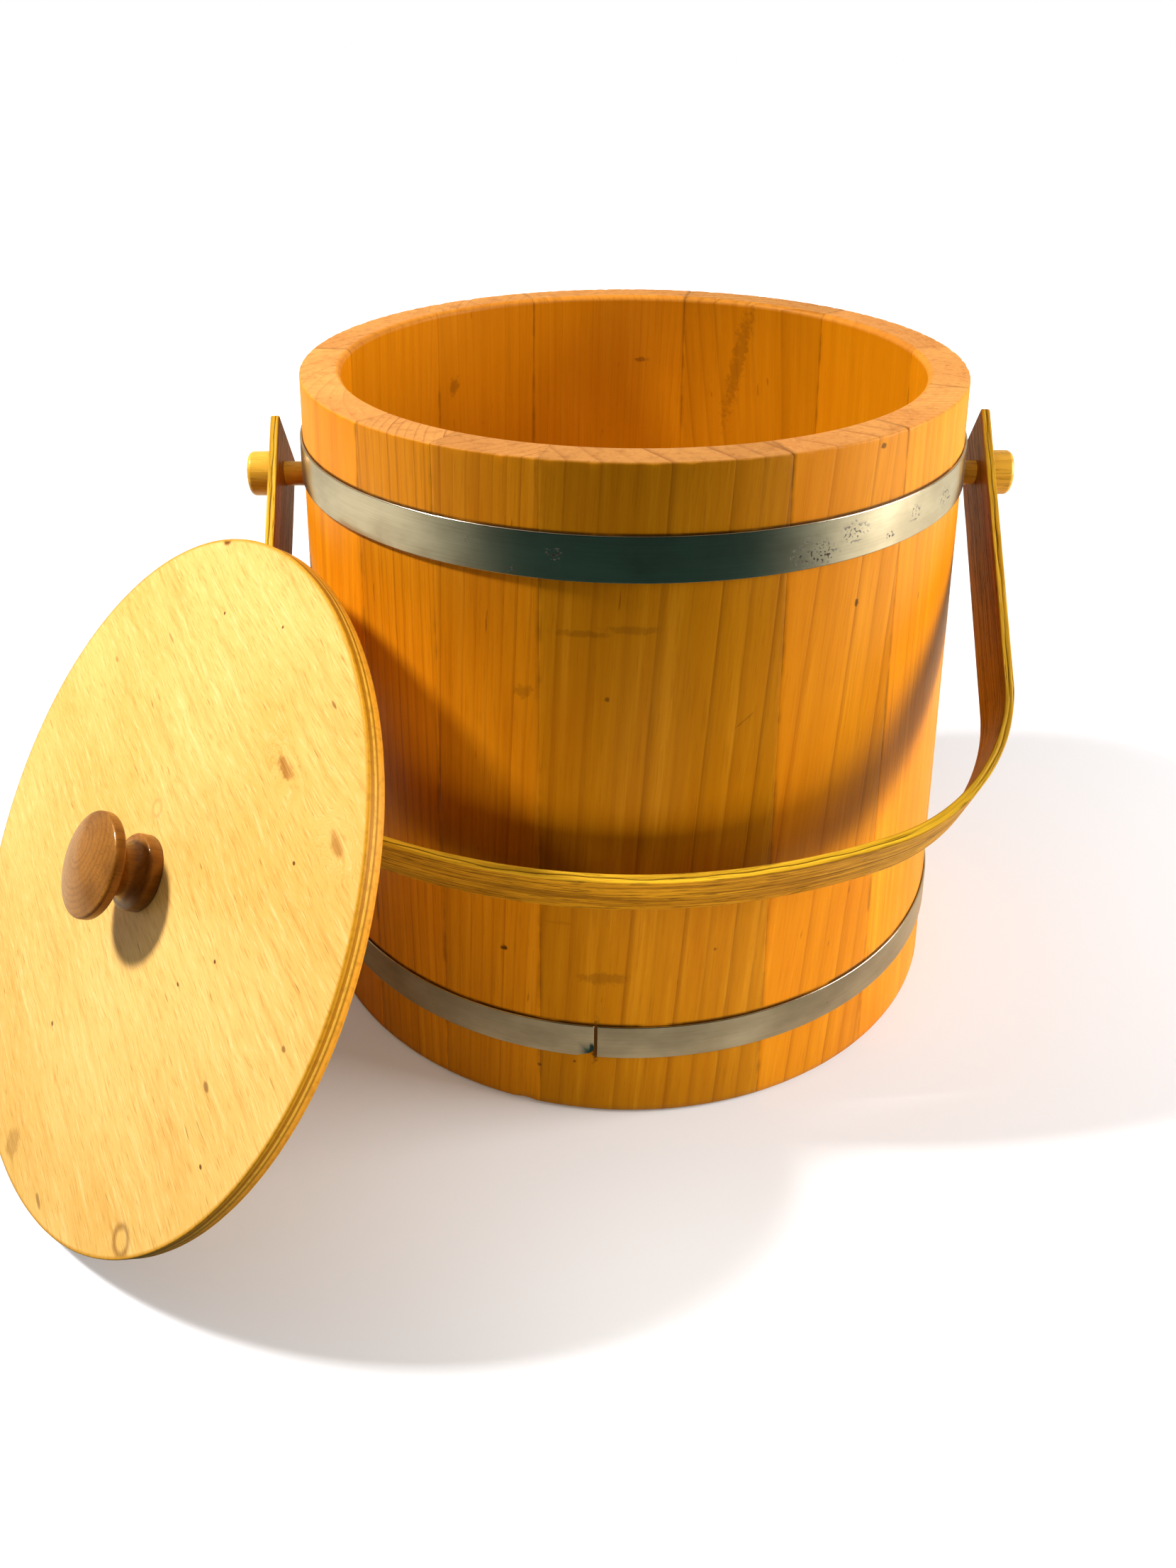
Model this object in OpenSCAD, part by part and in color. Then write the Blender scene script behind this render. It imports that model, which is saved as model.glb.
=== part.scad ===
// A small covered tub of the old dairy kind, a firkin: tapered staves in two steel hoops, a raised bottom,
// a bent wooden bail that swings on two pegs, and a loose lid with a turned knob.
// Millimetres. +Z is up and the floor is z = 0. The origin is on the tub's axis, at the foot of the staves.
// The pegs lie along X and the bail rests against the front staves, at -Y. The lid leans beside the tub.

/* [Tub] */
// Height of the staves
tub_height = 259; // [200:1:320]
// Outer diameter at the rim
top_diameter = 250; // [230:1:255]
// Outer diameter at the foot, wider than the rim
base_diameter = 285; // [270:1:300]
// Thickness of a stave, measured level
stave_thickness = 15; // [12:0.5:18]
// Bevel on the inner edge of the rim and the outer edge of the foot
edge_bevel = 1.5; // [0.5:0.25:2.5]

/* [Bottom] */
// Height of the underside of the bottom above the floor
bottom_height = 14; // [10:1:20]
// Thickness of the bottom boards
bottom_thickness = 10; // [8:0.5:14]
// Depth of the groove in the staves that holds the bottom
groove_depth = 5; // [3:0.5:6]

/* [Hoops] */
// Width of the steel band
hoop_width = 15; // [10:0.5:20]
// Thickness of the steel band
hoop_thickness = 1; // [0.6:0.1:1.6]
// Height of the upper hoop's lower edge
upper_hoop_height = 221.7; // [221:0.1:235]
// Height of the lower hoop's lower edge
lower_hoop_height = 29.3; // [26:0.1:60]
// Open width of the butted seam in each hoop
seam_gap = 1.3; // [0.5:0.1:3]

/* [Pegs] */
// Height of the pegs, and of the axis that the bail swings on
peg_height = 213.4; // [205:0.1:214]
// Diameter of the peg's shank
peg_diameter = 9.5; // [8:0.1:11]
// How deep the shank is driven into its stave
peg_depth = 12; // [8:0.5:13]
// Diameter of the peg's button head
peg_head_diameter = 17.5; // [14:0.5:20]
// Length of the button head
peg_head_length = 10.4; // [5:0.1:12]

/* [Bail handle] */
// Width of the bent strip
bail_width = 30; // [24:0.5:34]
// Thickness of the bent strip
bail_thickness = 3.5; // [2.5:0.1:4]
// Distance from the tub's axis to the middle of the strip at a peg
bail_half_span = 140; // [139:0.5:142]
// How far each leg leans inward, in degrees
bail_lean = 3.42; // [3:0.1:4]
// Length of the straight leg below the peg
leg_length = 102; // [98:1:106]
// Radius of the bend between leg and bar, at the middle of the strip
bend_radius = 68; // [60:1:72]
// Radius of the slightly bowed bar, at the middle of the strip
bar_radius = 276; // [270:1:400]
// Length of the right leg above the peg
right_leg_tip = 20.5; // [16:0.5:30]
// Length of the left leg above the peg
left_leg_tip = 17.8; // [16:0.1:30]
// Angle of the resting bail in front of straight down, in degrees
bail_rest_angle = 55.8; // [55.8:0.1:56.5]
// Radial play of the strip's hole round the shank
pivot_play = 0.1; // [0.05:0.05:0.4]

/* [Lid] */
// Diameter of the plywood panel
lid_diameter = 256; // [252:1:258]
// Thickness of the plywood panel
lid_thickness = 6.4; // [5:0.1:8]
// Diameter of the disc under the panel that drops into the tub's mouth
locator_diameter = 216; // [200:1:217]
// Thickness of that disc
locator_thickness = 5.2; // [4:0.1:5.2]
// Slope of the leaning panel from upright, in degrees
lid_slope = 34.8; // [34:0.1:36]
// Compass direction that the leaning panel's face looks to, in degrees from +X
lid_direction = -143.8; // [-144:0.1:-142]
// Centre of the panel's face from the tub's axis, along the floor
lid_distance = 220.6; // [220.6:0.1:230]

/* [Knob] */
// Height of the knob above the panel
knob_height = 23.6; // [22:0.1:30]
// Diameter of the knob's head
knob_diameter = 38.6; // [34:0.1:44]
// Diameter of the knob's foot
knob_foot_diameter = 28.2; // [26:0.1:32]
// Diameter of the knob's waist
knob_waist_diameter = 19; // [14:0.5:22]
// Distance of the knob's axis from the panel's centre, up the slope
knob_rise = 1.9; // [0:0.1:3]
// Distance of the knob's axis from the panel's centre, to the left
knob_shift = 0.6; // [0:0.1:3]
// Diameter of the wood screw that holds the knob
screw_diameter = 4; // [3:0.1:5]
// Length of the wood screw
screw_length = 25; // [20:1:30]

/* [Hidden] */
$fn = 96;
// Directions of the joints between staves, in degrees from +X, counter-clockwise from the right peg
stave_joints = [6, 40, 75.5, 112, 138, 174, 222, 238, 255, 291, 313, 339, 366];
stave_count = len(stave_joints) - 1;
// The staves that a peg is driven into
left_peg_stave = 6;
right_peg_stave = 12;
board_names = ["bottom_board_left", "bottom_board_middle", "bottom_board_right"];
stave_names = [for (i = [1:stave_count]) str("stave_", i)];

stave_color = "#C98A2B";
board_color = "#C07A20";
hoop_color = "#B4B3AA";
peg_color = "#8A5A1C";
bail_color = "#8C6A24";
panel_color = "#F2D07A";
disc_color = "#E3BC66";
knob_color = "#9A6232";
screw_color = "#9A9A98";
// Reach of cutting shapes past what they cut
past = 1;

top_radius = top_diameter / 2;
base_radius = base_diameter / 2;
// The staves' outer face is a cone: its radius at height z
function outer_radius(z) = base_radius + (top_radius - base_radius) * z / tub_height;
function inner_radius(z) = outer_radius(z) - stave_thickness;

// The bottom boards are bevelled to a tongue that fills the groove
tongue_bottom = bottom_height + 1;
tongue_top = bottom_height + 0.75 * bottom_thickness;
groove_radius = inner_radius((tongue_bottom + tongue_top) / 2) + groove_depth;
bottom_slope = 6;
board_count = len(board_names);
board_width = 2 * groove_radius / board_count;

// The lower hoop's seam is at the front, the upper hoop's at the back
lower_seam_direction = -96;
upper_seam_direction = 90;
seam_nick = 5;

// A peg's head starts just outside the strip, whose lean carries its outer face out by this much
strip_outer = bail_half_span + bail_thickness / (2 * cos(bail_lean))
    + peg_head_diameter / 2 * tan(bail_lean);
peg_head_start = strip_outer + 0.2;
peg_end = peg_head_start + peg_head_length;
peg_start = outer_radius(peg_height) - peg_depth;
peg_edge_radius = 1.5;
peg_dome = 1.2;

// The bail in its own plane: x across the tub, y down the leg, z across the strip's width.
// The leg leans inward, the bend turns it, and the bowed bar closes the shape at x = 0.
leg_end = [bail_half_span - leg_length * sin(bail_lean), leg_length * cos(bail_lean)];
bend_centre = leg_end - bend_radius * [cos(bail_lean), sin(bail_lean)];
// The bar's arc has its centre at x = 0 and meets the bend with one shared tangent
bar_angle = asin(bend_centre[0] / (bar_radius - bend_radius));
bar_centre_y = bend_centre[1] - (bar_radius - bend_radius) * cos(bar_angle);
// Leg and bar run this far into the bend, which is a hair fuller than they are, so that they join as one
strip_lap = 0.5;
bend_swell = 0.05;
// Radius of the corners at each leg's cut end
tip_corner = 2.4;

// The leaning lid: local +Z is the face's outward normal, local +X points down the slope
lid_radius = lid_diameter / 2;
lid_turn = 90 - lid_slope;
lid_centre_height = lid_radius * cos(lid_slope) + lid_thickness * sin(lid_slope);
lid_edge_bevel = 0.4;
// Steps in each curve of the knob's outline
knob_steps = 10;
screw_head_radius = screw_diameter;
screw_head_depth = screw_diameter / 2;
screw_seat = lid_thickness + locator_thickness;
screw_slot_width = 1.1;
screw_slot_depth = 1.2;

module stave_profile() {
    z0 = tongue_bottom;
    z1 = tongue_top;
    polygon([
        [inner_radius(0), 0],
        [base_radius - edge_bevel, 0],
        [outer_radius(edge_bevel), edge_bevel],
        [top_radius, tub_height],
        [inner_radius(tub_height) + edge_bevel, tub_height],
        [inner_radius(tub_height - edge_bevel), tub_height - edge_bevel],
        [inner_radius(z1), z1],
        [groove_radius, z1],
        [groove_radius, z0],
        [inner_radius(z0), z0]
    ]);
}

// One stave between two joints, its edges cut toward the tub's axis
module stave(i) {
    first = stave_joints[i - 1];
    color(stave_color)
        difference() {
            rotate([0, 0, first])
                rotate_extrude(angle = stave_joints[i] - first, $fn = 180)
                    stave_profile();
            if (i == right_peg_stave)
                peg_hole();
            if (i == left_peg_stave)
                mirror([1, 0, 0])
                    peg_hole();
        }
}

module peg_hole() {
    translate([peg_start, 0, peg_height])
        rotate([0, 90, 0])
            cylinder(d = peg_diameter, h = peg_depth + stave_thickness);
}

module bottom_disc() {
    z0 = bottom_height;
    z1 = bottom_height + bottom_thickness;
    rotate_extrude($fn = 180)
        polygon([
            [0, z0],
            [inner_radius(z0) - bottom_slope, z0],
            [inner_radius(tongue_bottom), tongue_bottom],
            [groove_radius, tongue_bottom],
            [groove_radius, tongue_top],
            [inner_radius(tongue_top), tongue_top],
            [inner_radius(z1) - bottom_slope, z1],
            [0, z1]
        ]);
}

// One of the boards sawn from the round bottom, counted from the left
module bottom_board(i) {
    color(board_color)
        intersection() {
            bottom_disc();
            translate([(i - board_count / 2) * board_width, -base_radius, 0])
                cube([board_width, base_diameter, tub_height]);
        }
}

// A conical steel band with a butted seam, its lower edge at height z
module hoop(z, seam_direction) {
    seam = seam_gap / outer_radius(z) * 180 / PI;
    rotate([0, 0, seam_direction + seam / 2])
        rotate_extrude(angle = 360 - seam, $fn = 180)
            polygon([
                [outer_radius(z), z],
                [outer_radius(z) + hoop_thickness, z],
                [outer_radius(z + hoop_width) + hoop_thickness, z + hoop_width],
                [outer_radius(z + hoop_width), z + hoop_width]
            ]);
}

module upper_hoop() {
    color(hoop_color)
        hoop(upper_hoop_height, upper_seam_direction);
}

// The lower hoop's left end has its lower corner snipped off
module lower_hoop() {
    color(hoop_color)
        difference() {
            hoop(lower_hoop_height, lower_seam_direction);
            rotate([0, 0, lower_seam_direction])
                translate([outer_radius(lower_hoop_height), 0, lower_hoop_height])
                    rotate([45, 0, 0])
                        cube([4 * hoop_thickness + past, seam_nick, seam_nick], center = true);
        }
}

// A turned peg along X: a plain shank and a slightly domed button head with rounded edges
module peg() {
    r = peg_head_diameter / 2;
    edge = peg_edge_radius;
    rim = peg_end - peg_dome;
    rotate([0, 90, 0])
        rotate_extrude()
            polygon(concat(
                [[0, peg_start], [peg_diameter / 2 - 0.5, peg_start], [peg_diameter / 2, peg_start + 0.5],
                 [peg_diameter / 2, peg_head_start], [r - 0.6, peg_head_start], [r, peg_head_start + 0.6]],
                [for (a = [0:15:75]) [r - edge + edge * cos(a), rim - edge + edge * sin(a)]],
                [for (s = [1:-0.2:0]) [(r - edge) * s, peg_end - peg_dome * s * s]]
            ));
}

module right_peg() {
    color(peg_color)
        translate([0, 0, peg_height])
            peg();
}

module left_peg() {
    color(peg_color)
        translate([0, 0, peg_height])
            mirror([1, 0, 0])
                peg();
}

// The strip's cross-section, its middle at the given radius, made fuller all round by swell
module strip_section(radius, swell = 0) {
    translate([radius - bail_thickness / 2 - swell, -bail_width / 2 - swell])
        square([bail_thickness + 2 * swell, bail_width + 2 * swell]);
}

// The leg's flat outline, x along the strip's width and y from the pivot down the leg
module leg_outline(tip) {
    half = bail_width / 2;
    r = tip_corner;
    end = leg_length + strip_lap;
    polygon(concat(
        [[-half, end]],
        [for (a = [180:30:270]) [r - half + r * cos(a), r - tip + r * sin(a)]],
        [for (a = [270:30:360]) [half - r + r * cos(a), r - tip + r * sin(a)]],
        [[half, end]]
    ));
}

// The right leg and its bend in the bail's own plane
module leg_and_bend(tip) {
    translate([bail_half_span, 0, 0])
        rotate([0, 0, bail_lean])
            translate([bail_thickness / 2, 0, 0])
                rotate([0, -90, 0])
                    linear_extrude(bail_thickness)
                        leg_outline(tip);
    translate(bend_centre)
        rotate([0, 0, bail_lean])
            rotate_extrude(angle = 90 - bail_lean - bar_angle)
                strip_section(bend_radius, bend_swell);
}

// The bowed bar between the two bends
module bar() {
    reach = bar_angle + strip_lap / bar_radius * 180 / PI;
    translate([0, bar_centre_y, 0])
        rotate([0, 0, 90 - reach])
            rotate_extrude(angle = 2 * reach)
                strip_section(bar_radius);
}

// The steam-bent strip with a hole through each leg, turned from its own plane to where it rests
module bail_handle() {
    color(bail_color)
        translate([0, 0, peg_height])
            rotate([-90 - bail_rest_angle, 0, 0])
                difference() {
                    union() {
                        bar();
                        leg_and_bend(right_leg_tip);
                        mirror([1, 0, 0])
                            leg_and_bend(left_leg_tip);
                    }
                    rotate([0, 90, 0])
                        cylinder(r = peg_diameter / 2 + pivot_play, h = 4 * bail_half_span, center = true);
                }
}

// Puts a shape drawn on the panel's face, with +Z outward, where the lid leans
module on_lid() {
    rotate([0, 0, lid_direction])
        translate([lid_distance, 0, lid_centre_height])
            rotate([0, lid_turn, 0])
                children();
}

// Puts a shape drawn about the knob's axis, a little off the panel's centre, in the panel's own frame
module on_knob_axis() {
    translate([-knob_rise, -knob_shift, 0])
        children();
}

// A round plate whose upper face is at z, with small bevels on both edges
module plate(radius, thickness, z) {
    b = lid_edge_bevel;
    rotate_extrude($fn = 180)
        polygon([[0, z], [radius - b, z], [radius, z - b],
                 [radius, z - thickness + b], [radius - b, z - thickness], [0, z - thickness]]);
}

// The hole that the knob's screw passes through, from below the face up into the knob
module screw_hole(depth) {
    on_knob_axis()
        translate([0, 0, -depth - past])
            cylinder(d = screw_diameter, h = depth + 2 * past, $fn = 32);
}

module lid_panel() {
    color(panel_color)
        on_lid()
            difference() {
                plate(lid_radius, lid_thickness, 0);
                screw_hole(lid_thickness);
            }
}

module lid_locating_disc() {
    color(disc_color)
        on_lid()
            difference() {
                plate(locator_diameter / 2, locator_thickness, -lid_thickness);
                screw_hole(screw_seat);
                on_knob_axis()
                    translate([0, 0, -screw_seat])
                        cylinder(r1 = screw_head_radius, r2 = screw_diameter / 2, h = screw_head_depth, $fn = 32);
            }
}

// The knob's outline from its foot up: a rounded foot, a cove in to the waist, a cove out to the head's
// underside, the head's upright band with rounded edges, and a low dome
module lid_knob() {
    foot = knob_foot_diameter / 2;
    waist = knob_waist_diameter / 2;
    head = knob_diameter / 2;
    foot_top = 0.22 * knob_height;
    waist_height = 0.4 * knob_height;
    brim_height = 0.7 * knob_height;
    face_height = 0.89 * knob_height;
    round_edge = 1.4;
    band = head - round_edge;
    n = knob_steps;
    color(knob_color)
        on_lid()
            on_knob_axis()
                difference() {
                    rotate_extrude()
                        polygon(concat(
                            [[0, 0], [foot, 0]],
                            [for (a = [0:30:90])
                                [foot - round_edge + round_edge * cos(a), foot_top - round_edge + round_edge * sin(a)]],
                            [for (k = [1:n])
                                let (a = 90 * k / n)
                                [foot - round_edge - (foot - round_edge - waist) * sin(a),
                                 waist_height - (waist_height - foot_top) * cos(a)]],
                            [for (k = [1:n - 1])
                                let (a = 90 * k / n)
                                [band - (band - waist) * cos(a),
                                 waist_height + (brim_height - waist_height) * sin(a)]],
                            [for (a = [-90:30:0])
                                [band + round_edge * cos(a), brim_height + round_edge + round_edge * sin(a)]],
                            [for (a = [0:25:75])
                                [band + round_edge * cos(a), face_height - round_edge + round_edge * sin(a)]],
                            [for (k = [1:n])
                                let (q = 1 - k / n)
                                [band * q, face_height + (knob_height - face_height) * (1 - q * q)]]
                        ));
                    translate([0, 0, -past])
                        cylinder(d = screw_diameter, h = screw_length - screw_seat + past, $fn = 32);
                }
}

// A countersunk wood screw driven up from under the locating disc, with a crossed slot
module knob_screw() {
    r = screw_diameter / 2;
    point = screw_diameter;
    color(screw_color)
        on_lid()
            on_knob_axis()
                translate([0, 0, -screw_seat])
                    difference() {
                        rotate_extrude($fn = 32)
                            polygon([[0, 0], [screw_head_radius, 0], [r, screw_head_depth],
                                     [r, screw_length - point], [0, screw_length]]);
                        for (turn = [0, 90])
                            rotate([0, 0, turn])
                                cube([1.3 * screw_head_radius, screw_slot_width, 2 * screw_slot_depth], center = true);
                    }
}

for (i = [1:stave_count])
    stave(i);
for (i = [0:board_count - 1])
    bottom_board(i);
upper_hoop();
lower_hoop();
left_peg();
right_peg();
bail_handle();
lid_panel();
lid_locating_disc();
lid_knob();
knob_screw();
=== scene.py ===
import bpy
import math
import numpy as np
from mathutils import Matrix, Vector
from mathutils.kdtree import KDTree


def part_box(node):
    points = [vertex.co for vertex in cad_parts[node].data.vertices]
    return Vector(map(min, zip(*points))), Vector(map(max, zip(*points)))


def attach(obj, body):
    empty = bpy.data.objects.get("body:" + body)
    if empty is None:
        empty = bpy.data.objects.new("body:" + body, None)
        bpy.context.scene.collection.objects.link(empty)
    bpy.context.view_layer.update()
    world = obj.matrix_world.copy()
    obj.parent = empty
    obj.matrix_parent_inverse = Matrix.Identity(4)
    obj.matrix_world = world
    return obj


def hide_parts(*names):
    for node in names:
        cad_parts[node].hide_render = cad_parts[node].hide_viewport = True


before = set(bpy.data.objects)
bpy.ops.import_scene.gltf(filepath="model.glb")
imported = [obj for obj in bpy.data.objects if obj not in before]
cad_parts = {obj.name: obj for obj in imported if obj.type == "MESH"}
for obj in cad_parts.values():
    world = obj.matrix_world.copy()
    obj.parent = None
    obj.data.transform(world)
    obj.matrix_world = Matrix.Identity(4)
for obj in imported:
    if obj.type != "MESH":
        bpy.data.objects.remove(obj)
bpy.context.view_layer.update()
MM = 0.001

# Camera
# It stands in front of the tub, a little left of its axis, and looks down at it through a 28 mm lens.
EYE = np.array([-18.8, -479.2, 376.2]) * MM
EYE_YAW, EYE_PITCH, EYE_ROLL = np.radians([0.207, 33.08, -0.03])
LENS_MM, FILM_MM = 27.99, 36.0


def camera_axes(yaw, pitch, roll):
    """Right, up and forward: +Y turned by yaw and dipped by pitch is forward, and roll turns the others."""
    level_forward = np.array([math.sin(yaw), math.cos(yaw), 0.0])
    forward = math.cos(pitch) * level_forward - math.sin(pitch) * np.array([0.0, 0.0, 1.0])
    level = np.array([math.cos(yaw), -math.sin(yaw), 0.0])
    upright = np.cross(level, forward)
    right = math.cos(roll) * level + math.sin(roll) * upright
    up = math.cos(roll) * upright - math.sin(roll) * level
    return right, up, forward


def added(name, data):
    """A new object in the scene."""
    made = bpy.data.objects.new(name, data)
    bpy.context.scene.collection.objects.link(made)
    return made


def placed(across, up, back, place):
    """The matrix of a camera or light that stands at place, with its X, Y and Z across, up and back."""
    turn = np.eye(4)
    turn[:3] = np.stack([across, up, back, place], 1)
    return Matrix(turn)


right, up, forward = camera_axes(EYE_YAW, EYE_PITCH, EYE_ROLL)
camera_data = bpy.data.cameras.new("camera")
camera_data.lens = LENS_MM
camera_data.sensor_width = FILM_MM
camera_data.clip_start = 0.01
camera = added("camera", camera_data)
camera.matrix_world = placed(right, up, -forward, EYE)
bpy.context.scene.camera = camera


# Staves
# Twelve softwood staves of uneven width stand in a ring, thinner at the rim because the tub narrows upward.
# Their edges are planed toward the tub's axis, the outside is turned round, and honey lacquer covers them.
RIM_RADIUS, FOOT_RADIUS, TUB_HEIGHT = 125 * MM, 142.5 * MM, 259 * MM
STAVE_THICKNESS = 15 * MM
STAVE_JOINTS = [6, 40, 75.5, 112, 138, 174, 222, 238, 255, 291, 313, 339, 366]
GROOVE_BOTTOM, GROOVE_TOP, GROOVE_DEPTH = 15 * MM, 21.5 * MM, 5 * MM
RIM_EDGE, RIM_BEVEL, FOOT_BEVEL, ARRIS = 0.7 * MM, 1.5 * MM, 1.5 * MM, 0.08 * MM
# How far the outer face is out of true, and how far it stays inside the cone everywhere
UNEVEN, INSIDE_CONE = 0.06 * MM, 0.01 * MM
# The hoops hide two bands of the staves, which get a dark line of dirt and painted shade along their upper
# edges
HOOP_BASES, HOOP_WIDTH = (221.7 * MM, 29.3 * MM), 15 * MM
# For each stave: brightness, olive, ring contrast, ring spacing in mm, how far the pith lies across the face
# and behind it in mm, and the lean of its grain
STAVE_LOOKS = [
    (1.04, 0.40, 0.35, 3.2, 8, 90, 0.01),
    (0.80, 0.05, 0.70, 4.2, -34, 46, -0.06),
    (0.90, 0.10, 0.40, 2.6, 60, 40, 0.01),
    (0.90, 0.15, 0.45, 3.0, -55, 38, 0.00),
    (0.94, 0.10, 0.45, 3.4, 42, 60, 0.02),
    (1.10, 0.00, 0.30, 4.6, 30, 58, -0.02),
    (0.92, 0.15, 0.75, 3.0, 62, 34, 0.01),
    (0.84, 0.30, 0.60, 3.6, -70, 40, -0.03),
    (0.78, 0.70, 0.62, 8.5, 130, 70, -0.065),
    (0.97, 0.40, 0.58, 8.0, 110, 52, -0.105),
    (1.08, 0.05, 0.55, 3.0, 64, 34, -0.02),
    (1.08, 0.05, 0.50, 2.8, -66, 36, 0.02),
]
# Marks of use on both faces, and painted shade in the lower hoop's seam, in mm: place, half sizes along X, Y
# and Z, lean of X with height, strength
STAVE_MARKS_AND_SHADE = [
    ((-20.0, -127.4, 204.0), (10, 8, 1.3), 0.0, 0.30),
    ((-3.0, -128.4, 205.8), (10, 8, 1.5), 0.0, 0.28),
    ((-39.3, -124.2, 181.6), (3.2, 6, 2.6), 0.4, 0.30),
    ((-11.2, -129.8, 181.5), (0.8, 3, 0.8), 0.0, 0.70),
    ((34.5, -126.3, 171.2), (0.5, 4, 3.2), 1.2, 0.40),
    ((-49.2, -128.4, 74.3), (1.6, 3, 1.4), 0.0, 1.00),
    ((29.6, -134.0, 78.1), (0.8, 3, 0.8), 0.0, 0.70),
    ((-11.6, -137.5, 66.7), (10, 6, 2.8), 0.6, 0.32),
    ((-27.8, -133.5, 90.5), (5, 5, 0.8), 0.0, 0.15),
    ((-36.8, -136.2, 20.9), (0.9, 3, 0.8), 0.0, 0.80),
    ((-22.8, -138.9, 25.2), (0.7, 3, 0.7), 0.0, 0.80),
    # Painted shade: the wood seen through the lower hoop's seam and snipped corner is painted dark
    ((-14.9, -139.8, 36.8), (1.8, 4, 11.0), 0.0, 1.00),
    ((71.9, -106.7, 205.1), (0.7, 3, 1.6), 0.0, 0.90),
    ((75.9, -99.6, 255.8), (1.0, 3, 0.9), 0.0, 0.80),
    ((-77.4, 81.2, 226.0), (2.4, 5, 4.6), 0.2, 0.38),
    ((8.7, 111.6, 230.2), (3.4, 5, 1.1), 0.0, 0.50),
    ((51.0, 96.0, 224.0), (3.6, 9, 36), 0.16, 0.34),
]
FOOT_CHIP_DIRECTION, FOOT_CHIP_WIDTH, FOOT_CHIP_DEPTH = math.radians(-107.5), 7 * MM, 1.7 * MM
# How noise is drawn out along a board's grain, which runs along the third axis
ALONG_GRAIN = (1.0, 1.0, 0.03)


def rgba(colour):
    """Linear red, green, blue and alpha of a web colour such as #C08020, or of a grey given as a number."""
    if not isinstance(colour, str):
        return [colour] * 3 + [1.0]
    parts = [int(colour[k:k + 2], 16) / 255 for k in (1, 3, 5)]
    return [c / 12.92 if c <= 0.04045 else ((c + 0.055) / 1.055) ** 2.4 for c in parts] + [1.0]


def waves(x, seed, length, count=7):
    """A smooth uneven line between about -1 and 1: sines of x whose wavelengths lie round length."""
    draw = np.random.RandomState(seed)
    total = np.zeros_like(np.asarray(x, float))
    for k in range(count):
        wave = length * draw.uniform(0.35, 1.8)
        height = draw.uniform(0.4, 1.0)
        total = total + height * np.sin(2 * np.pi * x / wave + draw.uniform(0, 2 * np.pi))
    return total / math.sqrt(count)


def grid_faces(rows, columns):
    """Quads between the points of a grid stored row after row, where each row is closed on itself."""
    r, c = np.meshgrid(np.arange(rows - 1) * columns, np.arange(columns), indexing="ij")
    c2 = (c + 1) % columns
    corners = [r + c, r + c2, r + columns + c2, r + columns + c]
    return np.stack(corners, -1).reshape(-1, 4)


def give(mesh, attributes):
    """Point attributes from arrays: vectors where the last axis has three values, and else plain numbers."""
    for key, values in attributes.items():
        values = np.asarray(values, np.float32)
        kind, field = ("FLOAT_VECTOR", "vector") if values.shape[-1] == 3 else ("FLOAT", "value")
        mesh.attributes.new(key, kind, "POINT").data.foreach_set(field, values.reshape(-1))


def surface(name, points, faces, body, material, attributes, caps):
    """A smooth piece at the origin that rides on a body: points, quads between them and closing caps."""
    mesh = bpy.data.meshes.new(name)
    mesh.from_pydata(points.reshape(-1, 3).tolist(), [], faces.tolist() + [cap.tolist() for cap in caps])
    give(mesh, attributes)
    mesh.polygons.foreach_set("use_smooth", np.full(len(mesh.polygons), True))
    mesh.materials.append(material)
    mesh.update()
    piece = added(name, mesh)
    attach(piece, body)
    return piece


def swept(name, points, body, material, attributes, order=-1):
    """A piece whose rows of points are closed outlines, and whose first and last rows are closed as caps.

    order is 1 where an outline runs clockwise for someone who looks along the sweep, and else -1."""
    rows, columns = points.shape[:2]
    faces = grid_faces(rows, columns)[:, ::order]
    first = np.arange(columns)[::-order]
    caps = [first, (rows - 1) * columns + first[::-1]]
    return surface(name, points, faces, body, material, attributes, caps)


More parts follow.
